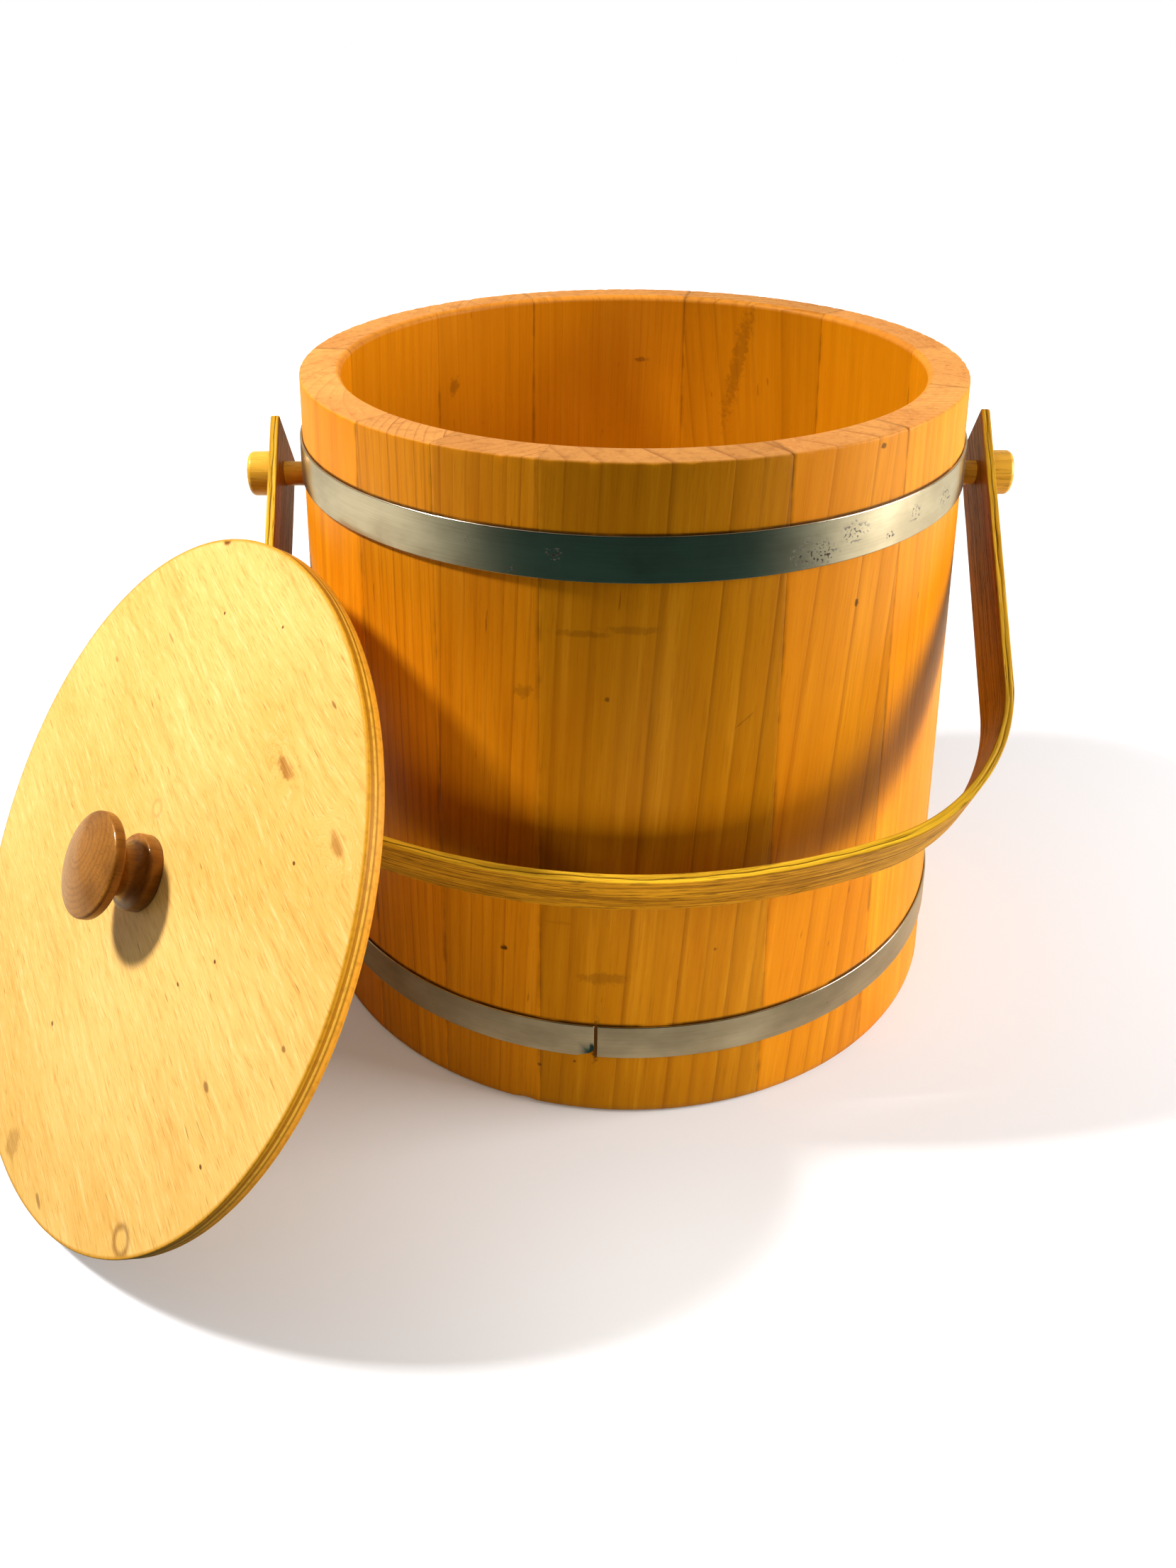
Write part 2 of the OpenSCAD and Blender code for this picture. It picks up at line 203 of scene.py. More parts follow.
class Shader:
    """Builds a material or the world: each call adds a node, sets or links its inputs, gives an output."""

    def __init__(self, name, kind="materials"):
        self.made = getattr(bpy.data, kind).new(name)
        self.made.use_nodes = True
        self.nodes = self.made.node_tree.nodes
        self.links = self.made.node_tree.links
        self.surface = self.nodes.get("Principled BSDF")

    def put(self, socket, value):
        """Links another node's output to a socket, or sets it to a value or a web colour."""
        if isinstance(value, bpy.types.NodeSocket):
            self.links.new(value, socket)
        else:
            socket.default_value = rgba(value) if isinstance(value, str) else value

    def node(self, kind, inputs=(), output=0, **settings):
        made = self.nodes.new("ShaderNode" + kind)
        for key, value in settings.items():
            setattr(made, key, value)
        for key, value in dict(inputs).items():
            self.put(made.inputs[key], value)
        return made.outputs[output]

    def attribute(self, name):
        """The vectors that the piece's points carry under a name."""
        return self.node("Attribute", output=1, attribute_name=name)

    def split(self, vector):
        """The three parts of a vector."""
        return self.node("SeparateXYZ", {0: vector}).node.outputs

    def vector(self, operation, a, b):
        return self.node("VectorMath", {0: a, 1: b}, operation=operation)

    def length(self, vector):
        return self.node("VectorMath", {0: vector}, output=1, operation="LENGTH")

    def math(self, operation, a, b=0.0, c=0.0):
        return self.node("Math", {0: a, 1: b, 2: c}, operation=operation)

    def times(self, a, b):
        return self.math("MULTIPLY", a, b)

    def scaled(self, value, by, plus):
        return self.math("MULTIPLY_ADD", value, by, plus)

    def join(self, x, y, z):
        return self.node("CombineXYZ", {0: x, 1: y, 2: z})

    def ramp(self, value, stops):
        """A colour ramp through (place, colour) stops, where a colour may be a grey."""
        made = self.nodes.new("ShaderNodeValToRGB")
        band = made.color_ramp
        while len(band.elements) < len(stops):
            band.elements.new(0.5)
        for element, (place, colour) in zip(band.elements, stops):
            element.position = place
            element.color = rgba(colour)
        self.put(made.inputs[0], value)
        return made.outputs[0]

    def step(self, value, low, high):
        """0 below low, 1 above high, and a smooth rise between."""
        return self.node("MapRange", {0: value, 1: low, 2: high}, interpolation_type="SMOOTHSTEP")

    def mix(self, amount, a, b, blend="MIX"):
        return self.node("Mix", {0: amount, 6: a, 7: b}, 2, data_type="RGBA", blend_type=blend)

    def tint(self, base, value, low, high, amount, code):
        """A colour laid over base by at most amount, where value runs from low to high."""
        return self.mix(self.times(self.step(value, low, high), amount), base, code)

    def noise(self, place, scale, detail=3.0, roughness=0.55, stretch=None):
        """Noise that is fine at a high scale, drawn out along an axis where stretch is small."""
        if stretch is not None:
            place = self.vector("MULTIPLY", place, stretch)
        settings = {"Vector": place, "Scale": scale, "Detail": detail, "Roughness": roughness}
        return self.node("TexNoise", settings)

    def blot(self, place, centre, half, lean, rag):
        """1 in a small ellipsoid and 0 outside: its distance in half sizes, leaned with height, plus rag."""
        offset = self.vector("SUBTRACT", place, [c * MM for c in centre])
        if lean:
            x, y, z = self.split(offset)
            offset = self.join(self.scaled(z, -lean, x), y, z)
        reach = self.length(self.vector("DIVIDE", offset, [h * MM for h in half]))
        return self.step(self.math("ADD", reach, rag), 1.15, 0.55)

    def blots(self, place, marks, rag):
        """The strongest of several marks at each point."""
        total = 0.0
        for *mark, strength in marks:
            one = self.times(self.blot(place, *mark, rag), strength)
            total = self.math("MAXIMUM", one, total)
        return total

    def bump(self, height, distance, strength=1.0, after=None):
        inputs = {"Height": height, "Distance": distance, "Strength": strength}
        if after is not None:
            inputs["Normal"] = after
        return self.node("Bump", inputs)

    def finish(self, colour, rough, normal=None):
        """Gives the surface its colour, its roughness and its relief."""
        self.put(self.surface.inputs["Base Color"], colour)
        self.put(self.surface.inputs["Roughness"], rough)
        if normal is not None:
            self.put(self.surface.inputs["Normal"], normal)
        return self.made

    def lacquer(self, gloss, coat=0.0, coat_rough=0.2):
        """Old honey lacquer: a weak yellow reflection, with a thin clear coat where coat is above 0."""
        settings = {"Specular IOR Level": gloss, "Specular Tint": "#FFBE5A", "Coat Weight": coat,
                    "Coat Roughness": coat_rough, "Coat Tint": "#FFF4DC"}
        for name, value in settings.items():
            self.put(self.surface.inputs[name], value)


def growth_rings(s, place, spacing, warp):
    """The place across each yearly ring, from 0 to 1, and how strong that year's dark line is.

    place holds metres across, behind and along the grain, counted from the pith, and warp bends the rings by
    that many metres. The distance from the pith over the spacing gives both: its part after the whole number
    is the first, and the whole number draws the second."""
    drawn_out = s.vector("MULTIPLY", place, (1.0, 1.0, 0.14))
    bend = s.node("TexNoise", {"Vector": drawn_out, "Scale": 17.0, "Detail": 2.0}, output=1)
    bend = s.vector("MULTIPLY", s.vector("SUBTRACT", bend, (0.5, 0.5, 0.5)), (warp, warp, 0.0))
    flat = s.vector("MULTIPLY", s.vector("ADD", place, bend), (1.0, 1.0, 0.0))
    reach = s.math("DIVIDE", s.length(flat), spacing)
    year = s.node("TexWhiteNoise", {"W": s.math("FLOOR", reach)}, noise_dimensions="1D")
    return s.math("FRACT", reach), s.scaled(year, 0.75, 0.25)


def stave_wood():
    """Lacquered softwood, read from the grain, tone, skin and spacing that each stave's points carry.

    grain is the place in the board, tone is brightness, olive and ring contrast, and skin is the end grain,
    the inner face and the joints' dirt. Rings and end grain have one formula, so they meet at the rim."""
    s = Shader("stave_wood")
    grain = s.attribute("grain")
    bright, olive, contrast = s.split(s.attribute("tone"))
    end, inside, seam = s.split(s.attribute("skin"))
    spacing = s.node("Attribute", output=2, attribute_name="spacing")
    ring, strength = growth_rings(s, grain, spacing, 0.007)
    late = s.ramp(ring, [(0.0, 0.15), (0.05, 0.0), (0.72, 0.10), (0.90, 0.65), (0.96, 1.0), (1.0, 0.2)])
    late = s.times(late, s.times(contrast, strength))
    streak = s.noise(grain, 260.0, 4.0, 0.6, ALONG_GRAIN)
    fibre = s.noise(grain, 1600.0, 3.0, 0.7, ALONG_GRAIN)
    cloud = s.noise(grain, 18.0, 3.0, 0.5, (1.0, 1.0, 0.4))
    amber = s.mix(late, "#E0880C", "#8C4402")
    dull = s.mix(late, "#A86E06", "#6C3C02")
    wood = s.mix(s.times(olive, 0.9), amber, dull)
    wood = s.tint(wood, streak, 0.45, 0.72, 0.34, "#A85E04")
    wood = s.tint(wood, streak, 0.50, 0.26, 0.30, "#EEA224")
    wood = s.tint(wood, fibre, 0.50, 0.72, 0.30, "#8A4A04")
    wood = s.tint(wood, cloud, 0.42, 0.70, 0.45, "#BC6606")
    wood = s.mix(s.times(inside, 0.50), wood, "#BC7402")
    rake = s.noise(grain, 700.0, 3.0, 0.6)
    sawn = s.mix(s.math("MINIMUM", s.times(late, 1.7), 1.0), "#CC8E4C", "#94562A")
    sawn = s.tint(sawn, cloud, 0.35, 0.62, 0.50, "#AC6E38")
    sawn = s.tint(sawn, streak, 0.48, 0.70, 0.40, "#8E5426")
    sawn = s.tint(sawn, rake, 0.55, 0.70, 0.30, "#84481C")
    sawn = s.tint(sawn, rake, 0.42, 0.28, 0.30, "#E0AC6C")
    wood = s.mix(s.times(end, 0.92), wood, sawn)
    wood = s.mix(1.0, wood, s.join(bright, bright, bright), "MULTIPLY")
    place = s.node("TexCoord", output=3)
    patch = s.noise(place, 60.0, 3.0)
    dirt_and_shade = s.times(s.times(seam, s.step(patch, 0.40, 0.66)), 0.55)
    height = s.split(place)[2]
    outside = s.math("SUBTRACT", 1.0, s.math("MAXIMUM", inside, end))
    # A dark line just above each hoop's upper edge: partly dirt, partly painted shade where the hoop's edge
    # shades the staves
    for base, depth in zip(HOOP_BASES, (0.9 * MM, 1.5 * MM)):
        above = s.math("SUBTRACT", height, base + HOOP_WIDTH)
        line = s.times(s.step(above, depth, 0.2 * MM), s.step(above, -2 * MM, -1 * MM))
        line = s.times(line, s.step(patch, 0.18, 0.50))
        dirt_and_shade = s.math("MAXIMUM", dirt_and_shade, s.times(line, outside))
    # Dirt at the joints, and dirt with painted shade above the hoops
    wood = s.mix(s.times(dirt_and_shade, 0.85), wood, "#2E1804")
    rag = s.scaled(s.noise(place, 420.0, 3.0, 0.7), 2.2, -1.1)
    # Marks of use, and the painted shade in the lower hoop's seam
    wood = s.mix(s.blots(place, STAVE_MARKS_AND_SHADE, rag), wood, "#4A2A06")
    fleck = s.noise(grain, 420.0, 2.0, 0.5, (1.0, 1.0, 0.16))
    wood = s.tint(wood, fleck, 0.735, 0.78, 0.5, "#6A3608")
    rough = s.scaled(s.noise(place, 35.0, 4.0), 0.24, 0.30)
    rough = s.scaled(end, 0.25, rough)
    relief = s.scaled(fibre, 0.35, s.times(late, -0.5))
    ripple = s.bump(s.noise(place, 22.0, 2.0), 0.0015, 0.35)
    s.lacquer(0.24, 0.02, 0.25)
    return s.finish(wood, rough, s.bump(relief, 0.00025, 0.6, ripple))


def outer_radius(z):
    """The staves' outer face is a cone: its radius at height z."""
    return FOOT_RADIUS + (RIM_RADIUS - FOOT_RADIUS) * z / TUB_HEIGHT


def stave_section():
    """The stave's outline in radius and height, walked up the outside, over the rim and down the inside.

    It gives the points, how far each is end grain, and how far each is the inner face."""
    def inner(z):
        return outer_radius(z) - STAVE_THICKNESS

    def arc(centre_r, centre_z, radius, first, last, count):
        a = np.radians(np.linspace(first, last, count))
        return np.c_[centre_r + radius * np.cos(a), centre_z + radius * np.sin(a)]

    lean = math.degrees(math.atan2(FOOT_RADIUS - RIM_RADIUS, TUB_HEIGHT))
    foot_out = outer_radius(0) - FOOT_BEVEL
    foot = [[inner(0), 0.0], [foot_out - 0.3 * MM, 0.0], [foot_out, 0.05 * MM]]
    z_up = np.r_[np.linspace(FOOT_BEVEL, 12 * MM, 5), np.linspace(18 * MM, TUB_HEIGHT - 6 * MM, 44),
                 np.linspace(TUB_HEIGHT - 4 * MM, TUB_HEIGHT - 1.5 * RIM_EDGE, 3)]
    outside = np.c_[outer_radius(z_up), z_up]
    rim_out = arc(RIM_RADIUS - RIM_EDGE + 0.05 * MM, TUB_HEIGHT - RIM_EDGE, RIM_EDGE, lean, 90, 5)
    top_in = inner(TUB_HEIGHT) + RIM_BEVEL
    top = np.c_[np.linspace(RIM_RADIUS - 1.6 * RIM_EDGE, top_in + 0.4 * MM, 6), np.full(6, TUB_HEIGHT)]
    bevel = [[top_in, TUB_HEIGHT - 0.08 * MM],
             [inner(TUB_HEIGHT) + 0.35 * RIM_BEVEL, TUB_HEIGHT - 0.6 * RIM_BEVEL],
             [inner(TUB_HEIGHT - RIM_BEVEL), TUB_HEIGHT - 1.15 * RIM_BEVEL]]
    z_down = np.r_[TUB_HEIGHT - 2.5 * MM, np.linspace(TUB_HEIGHT - 5 * MM, GROOVE_TOP + 0.4 * MM, 32)]
    inside = np.c_[inner(z_down), z_down]
    deep = inner((GROOVE_BOTTOM + GROOVE_TOP) / 2) + GROOVE_DEPTH
    groove = [[inner(GROOVE_TOP), GROOVE_TOP], [deep, GROOVE_TOP], [deep, GROOVE_BOTTOM],
              [inner(GROOVE_BOTTOM), GROOVE_BOTTOM], [inner(6 * MM), 6 * MM]]
    parts = [foot, outside, rim_out, top, bevel, inside, groove]
    counts = [len(part) for part in parts]
    end = np.repeat([1.0, 0.0, 0.0, 1.0, 0.35, 0.0, 0.0], counts)
    end[sum(counts[:2]):sum(counts[:3])] = np.linspace(0.0, 1.0, counts[2])
    within = np.repeat([0.0, 0.0, 0.0, 0.0, 0.5, 1.0, 1.0], counts)
    return np.vstack(parts), end, within


def stave(number, material):
    """The section swept from joint to joint about the tub's axis, drawn in a hair at both joints.

    A point is (r cos a, r sin a, z). The rim's outer edge is worn back by an uneven line, as it is chipped,
    the foot has one chip, and the outer face is a little out of true."""
    first, last = np.radians(STAVE_JOINTS[number - 1:number + 1])
    bright, olive, contrast, spacing, pith_x, pith_y, lean = STAVE_LOOKS[number - 1]
    section, end, within = stave_section()
    tuck = ARRIS / RIM_RADIUS
    count = max(8, int(round((last - first) / math.radians(0.6))))
    a = np.r_[first + tuck * 0.12, first + tuck * 0.45,
              np.linspace(first + 1.3 * tuck, last - 1.3 * tuck, count),
              last - tuck * 0.45, last - tuck * 0.12]
    draw_in = np.zeros(len(a))
    draw_in[[0, -1]] = ARRIS
    draw_in[[1, -2]] = 0.35 * ARRIS
    following = np.roll(section, -1, 0) - np.roll(section, 1, 0)
    normal = np.c_[following[:, 1], -following[:, 0]]
    normal /= np.linalg.norm(normal, axis=1)[:, None]
    r = section[None, :, 0] - draw_in[:, None] * normal[None, :, 0]
    z = section[None, :, 1] - draw_in[:, None] * normal[None, :, 1]
    worn = np.clip(waves(a * RIM_RADIUS, 40 + number, 9 * MM), 0, 2) * 0.34 * MM
    near_rim = np.exp(-((section[:, 1] - TUB_HEIGHT) / (0.7 * MM)) ** 2) * (1 - within) \
        * np.exp(-((section[:, 0] - RIM_RADIUS) / (1.2 * MM)) ** 2)
    r = r - worn[:, None] * near_rim[None, :]
    z = z - 0.6 * worn[:, None] * near_rim[None, :]
    turned_to = (a - FOOT_CHIP_DIRECTION + np.pi) % (2 * np.pi) - np.pi
    chip = np.clip(1.3 - (turned_to * FOOT_RADIUS / (FOOT_CHIP_WIDTH / 2)) ** 2, 0, 1) * FOOT_CHIP_DEPTH
    outer_half = section[:, 0] > FOOT_RADIUS - STAVE_THICKNESS / 2
    foot = np.clip(1 - section[:, 1] / (2.2 * MM), 0, 1) * outer_half
    r = r - chip[:, None] * foot[None, :]
    uneven = waves(a[:, None] * FOOT_RADIUS + 0.6 * section[None, :, 1], 70 + number, 80 * MM) * UNEVEN
    outer_face = (1 - within) * (1 - end)
    r = r - (np.abs(uneven) + INSIDE_CONE) * outer_face[None, :]
    points = np.stack([r * np.cos(a)[:, None], r * np.sin(a)[:, None], z], -1)
    middle = (first + last) / 2
    across = r * np.sin(a - middle)[:, None]
    depth = r * np.cos(a - middle)[:, None] - RIM_RADIUS
    from_pith = [across - pith_x * MM + lean * z, depth + pith_y * MM + 0.06 * z, z + 0.31 * number]
    grain = np.stack(from_pith, -1)
    near = np.minimum(np.abs(a - first), np.abs(a - last)) * RIM_RADIUS
    seam = np.exp(-(near / (0.25 * MM)) ** 2)
    skin = np.stack(np.broadcast_arrays(end, within, seam[:, None]), -1)
    attributes = {"grain": grain, "tone": np.broadcast_to([bright, olive, contrast], grain.shape),
                  "skin": skin, "spacing": np.full(r.shape, spacing * MM)}
    piece = swept(f"stave_{number}_wood", points, "tub", material, attributes)
    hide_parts(f"stave_{number}")


stave_material = stave_wood()
for number in range(1, len(STAVE_JOINTS)):
    stave(number, stave_material)


# Bottom boards
# Three boards butted side by side and turned to a disc, whose thin edge sits in the groove of the staves.
# They keep their solids and get the same lacquered softwood, its grain running from front to back.
def bottom_wood():
    """Softwood whose rings are slices of a log lying along Y, read from the object's own coordinates."""
    s = Shader("bottom_wood")
    x, y, z = s.split(s.node("TexCoord", output=3))
    log = s.join(x, s.math("ADD", z, 0.05), y)
    ring, strength = growth_rings(s, log, 4 * MM, 0.008)
    late = s.ramp(ring, [(0.0, 0.2), (0.5, 0.1), (0.93, 0.8), (1.0, 0.3)])
    late = s.times(late, strength)
    fibre = s.noise(log, 900.0, 3.0, 0.7, ALONG_GRAIN)
    wood = s.mix(late, "#D08416", "#8A4A08")
    wood = s.tint(wood, fibre, 0.45, 0.7, 0.3, "#8A4A0A")
    s.lacquer(0.30)
    rough = s.scaled(fibre, 0.25, 0.35)
    return s.finish(wood, rough, s.bump(s.math("SUBTRACT", fibre, late), 0.0003, 0.6))


def dress(node, material):
    """Gives a solid that is kept its material."""
    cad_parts[node].data.materials.clear()
    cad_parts[node].data.materials.append(material)


board_material = bottom_wood()
for side in ("left", "middle", "right"):
    dress(f"bottom_board_{side}", board_material)


# Hoops
# Two bands of 1 mm strip steel, 15 mm wide, driven on from the narrow rim end until they bind on the cone.
# Each closes in a butted seam: the lower one's faces the front, with one corner snipped.
HOOP_THICKNESS, HOOP_EDGE, SEAM_GAP = 1 * MM, 0.22 * MM, 1.3 * MM
SNIP_LENGTH, SNIP_HEIGHT = 3.6 * MM, 3.4 * MM
HOOPS = {"upper_hoop": (HOOP_BASES[0], 90.0), "lower_hoop": (HOOP_BASES[1], -96.0)}


def on_hoop(direction, height, half_length, half_height, strength):
    """A rust mark on the upper hoop: its direction in degrees, then its height and half sizes in mm.

    It gives the place along the band, counted from direction 0 at the rim's radius, and up its face."""
    along = math.radians(direction % 360) * RIM_RADIUS / MM
    return (along, height, 0.0), (half_length, half_height, 20), 0.0, strength


RUST = [on_hoop(*mark) for mark in (
    (-64.6, 6, 9, 5.5, 1.0), (-58, 10, 6, 4, 0.8), (-50, 5, 2.2, 1.6, 0.9), (-44, 9, 4, 3, 0.6),
    (-33.4, 8, 5, 4, 0.8), (-102.6, 9.5, 3.4, 2.2, 1.0), (-116, 11, 1.2, 1.0, 0.9), (-109, 3, 2, 1.4, 0.5))]


def hoop_steel():
    """Strip steel rolled lengthwise: fine lines along the band, dull stains, and rust where it has pitted.

    The points carry metres round the band, metres up its face, and which hoop it is."""
    s = Shader("hoop_steel")
    band = s.attribute("band")
    line = s.noise(band, 1600.0, 3.0, 0.6, (0.02, 1.0, 1.0))
    stain = s.noise(band, 45.0, 4.0, 0.6, (0.6, 1.0, 1.0))
    grit = s.noise(band, 950.0, 1.0, 0.4)
    rag = s.scaled(s.noise(band, 160.0, 2.0), 1.6, -0.8)
    pit = s.times(s.step(grit, 0.55, 0.62), s.blots(band, RUST, rag))
    rust = s.math("MAXIMUM", pit, s.step(s.noise(band, 330.0, 1.0, 0.5), 0.80, 0.83))
    steel = s.mix(s.step(stain, 0.35, 0.7), "#C6C2B4", "#A8A294")
    steel = s.tint(steel, line, 0.4, 0.65, 0.20, "#948C7C")
    steel = s.mix(s.times(rust, 0.95), steel, "#26120A")
    s.put(s.surface.inputs["Metallic"], s.scaled(rust, -0.35, 1.0))
    rough = s.scaled(rust, 0.4, s.scaled(stain, 0.10, 0.15))
    relief = s.scaled(rust, -0.4, line)
    return s.finish(steel, rough, s.bump(relief, 0.00005, 0.25))


def hoop(name, base, seam_direction, number, material):
    """A flat band with rounded edges swept round the cone from one end of the seam to the other.

    The section is a rounded rectangle leaning with the cone. Its height above the base shrinks near the
    seam's left end, below, where a corner is gone."""
    half_gap = SEAM_GAP / 2 / outer_radius(base)
    start = math.radians(seam_direction) + half_gap
    a = start + (2 * math.pi - 2 * half_gap) * (np.r_[0, 0.0004, np.linspace(0.002, 0.998, 178), 0.9996, 1])
    corner = np.radians([0, 45, 90])
    depth = np.r_[0, HOOP_THICKNESS - HOOP_EDGE + HOOP_EDGE * np.sin(corner), np.full(3, HOOP_THICKNESS),
                  HOOP_THICKNESS - HOOP_EDGE + HOOP_EDGE * np.cos(corner), 0, 0]
    height = np.r_[0, HOOP_EDGE - HOOP_EDGE * np.cos(corner),
                   2 * HOOP_EDGE, HOOP_WIDTH / 2, HOOP_WIDTH - 2 * HOOP_EDGE,
                   HOOP_WIDTH - HOOP_EDGE + HOOP_EDGE * np.sin(corner), HOOP_WIDTH, HOOP_WIDTH / 2]
    z = np.broadcast_to(base + height, (len(a), len(height)))
    if name == "lower_hoop":
        snip = np.clip(1 - (a[-1] - a) * outer_radius(base) / SNIP_LENGTH, 0, 1) * SNIP_HEIGHT
        z = base + np.maximum(height[None, :], snip[:, None])
    wobble = 0.05 * MM * np.abs(waves(a * RIM_RADIUS, 11 + number, 60 * MM))[:, None]
    r = outer_radius(z) + depth[None, :] - wobble * (depth > 0)[None, :]
    points = np.stack([r * np.cos(a)[:, None], r * np.sin(a)[:, None], z], -1)
    band = np.stack([np.broadcast_to((a * RIM_RADIUS)[:, None], z.shape), z - base + depth[None, :],
                     np.full(z.shape, 0.37 * number)], -1)
    piece = swept(name + "_band", points, "tub", material, {"band": band})
    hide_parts(name)


steel_material = hoop_steel()
for number, (name, (base, seam_direction)) in enumerate(HOOPS.items()):
    hoop(name, base, seam_direction, number, steel_material)


# Pegs
# Two turned hardwood pegs, glued into bored holes in the side staves just under the upper hoop.
# The bail turns on their shanks, and their button heads keep it on.
PEG_HEIGHT, PEG_RADIUS, PEG_HEAD_RADIUS = 213.4 * MM, 4.75 * MM, 8.75 * MM
PEG_HEAD_LENGTH, PEG_DOME, PEG_EDGE = 10.4 * MM, 0.9 * MM, 0.2 * MM
PEG_START, PEG_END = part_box("right_peg")[0][0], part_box("right_peg")[1][0]


def turned_wood(name, pale, dark, shade, gloss):
    """Close-grained turned wood under gloss lacquer: faint rings and pores along the grain attribute."""
    s = Shader(name)
    grain = s.attribute("grain")
    ring, strength = growth_rings(s, grain, 2.2 * MM, 0.004)
    ring = s.times(s.step(ring, 0.3, 0.95), strength)
    fibre = s.noise(grain, 1300.0, 3.0, 0.7, (1.0, 1.0, 0.06))
    cloud = s.noise(grain, 70.0, 3.0, 0.5)
    wood = s.mix(s.times(ring, 0.5), pale, dark)
    wood = s.tint(wood, cloud, 0.35, 0.7, 0.6, dark)
    wood = s.tint(wood, fibre, 0.52, 0.68, 0.45, shade)
    s.lacquer(0.35, 0.35, 0.12)
    return s.finish(wood, s.scaled(cloud, 0.2, gloss), s.bump(fibre, 0.0002, 0.5))


def turned(name, outline, centre, axes, body, material, segments=96):
    """An outline of (along, radius) pairs spun about an axis through centre, closed at both ends by a point.

    axes are the unit vectors along the axis, across it and to its side. A point is centre + along h
    + radius (across cos t + side sin t)."""
    centre = np.asarray(centre, float)
    along, across, side = (np.asarray(axis, float) for axis in axes)
    t = np.linspace(0, 2 * np.pi, segments, endpoint=False)
    h, radius = np.asarray(outline, float).T
    ring = (np.cos(t)[None, :, None] * across + np.sin(t)[None, :, None] * side) * radius[:, None, None]
    points = centre + ring + h[:, None, None] * along
    ends = np.array([centre + h[0] * along, centre + h[-1] * along])
    points = np.vstack([points.reshape(-1, 3), ends])
    rows = len(h)
    k = np.arange(segments)
    k2 = (k + 1) % segments
    last = (rows - 1) * segments
    fans = np.vstack([np.c_[k2, k, np.full(segments, rows * segments)],
                      np.c_[last + k, last + k2, np.full(segments, rows * segments + 1)]])
    local = points - centre
    grain = np.c_[local @ across + 0.004, local @ side + 0.006, local @ along]
    return surface(name, points, grid_faces(rows, segments), body, material, {"grain": grain}, fans)


def rounded(points, radius, steps=5):
    """An outline with its inner corners rounded: each corner becomes steps points on a curve through it."""
    points = np.asarray(points, float)
    out = [points[0]]
    for before, corner, after in zip(points[:-2], points[1:-1], points[2:]):
        back, on = before - corner, after - corner
        reach = min(radius, 0.45 * np.linalg.norm(back), 0.45 * np.linalg.norm(on))
        p = corner + back / np.linalg.norm(back) * reach
        q = corner + on / np.linalg.norm(on) * reach
        t = np.linspace(0, 1, steps)[:, None]
        out.extend((1 - t) ** 2 * p + 2 * t * (1 - t) * corner + t ** 2 * q)
    out.append(points[-1])
    return np.array(out)


def peg_outline():
    """Shank, square shoulder and head from the inner end out. The dome falls as the radius squared."""
    head = PEG_END - PEG_HEAD_LENGTH
    shank = [(PEG_START, 0.3 * MM), (PEG_START, PEG_RADIUS - PEG_EDGE), (PEG_START + 0.5 * MM, PEG_RADIUS),
             (head, PEG_RADIUS), (head, PEG_HEAD_RADIUS - PEG_EDGE)]
    band = [(head + 1 * MM, PEG_HEAD_RADIUS - 0.05 * MM), (PEG_END - 2 * MM, PEG_HEAD_RADIUS - 0.1 * MM),
            (PEG_END - PEG_DOME, PEG_HEAD_RADIUS * 0.9)]
    dome = [(PEG_END - PEG_DOME * part * part, PEG_HEAD_RADIUS * 0.84 * part)
            for part in (0.98, 0.8, 0.6, 0.4, 0.2, 0.04)]
    return rounded(shank + band + dome, 0.7 * MM)


peg_material = turned_wood("peg_wood", "#E8B440", "#B88420", "#7A4E0C", 0.20)
for name, sign in (("left_peg", -1), ("right_peg", 1)):
    peg_axes = ((sign, 0, 0), (0, sign, 0), (0, 0, 1))
    peg = turned(name + "_wood", peg_outline(), (0, 0, PEG_HEIGHT), peg_axes, "tub",
                 peg_material)
    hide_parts(name)


# Bail handle
# A strip of hardwood, split to 3.5 mm and steam-bent to a flat-bottomed loop, with a bored hole in each leg.
# Its ends are cut square above the pegs, and at rest the bar hangs against the front staves.
BAIL_WIDTH, BAIL_THICKNESS = 30 * MM, 3.5 * MM
BAIL_HALF_SPAN, BAIL_LEAN, LEG_LENGTH = 140 * MM, math.radians(3.42), 102 * MM
BEND_RADIUS, BAR_RADIUS = 68 * MM, 276 * MM
RIGHT_TIP, LEFT_TIP, TIP_CORNER = 20.5 * MM, 17.8 * MM, 2.4 * MM
BAIL_ARRIS, SPLIT_DEPTH, SPLIT_HALF_WIDTH, SPLIT_DRIFT = 0.45 * MM, 0.28 * MM, 0.32 * MM, 0.6 * MM
BAIL_REST_ANGLE = math.radians(55.8)
PIVOT_PLAY = 0.1 * MM


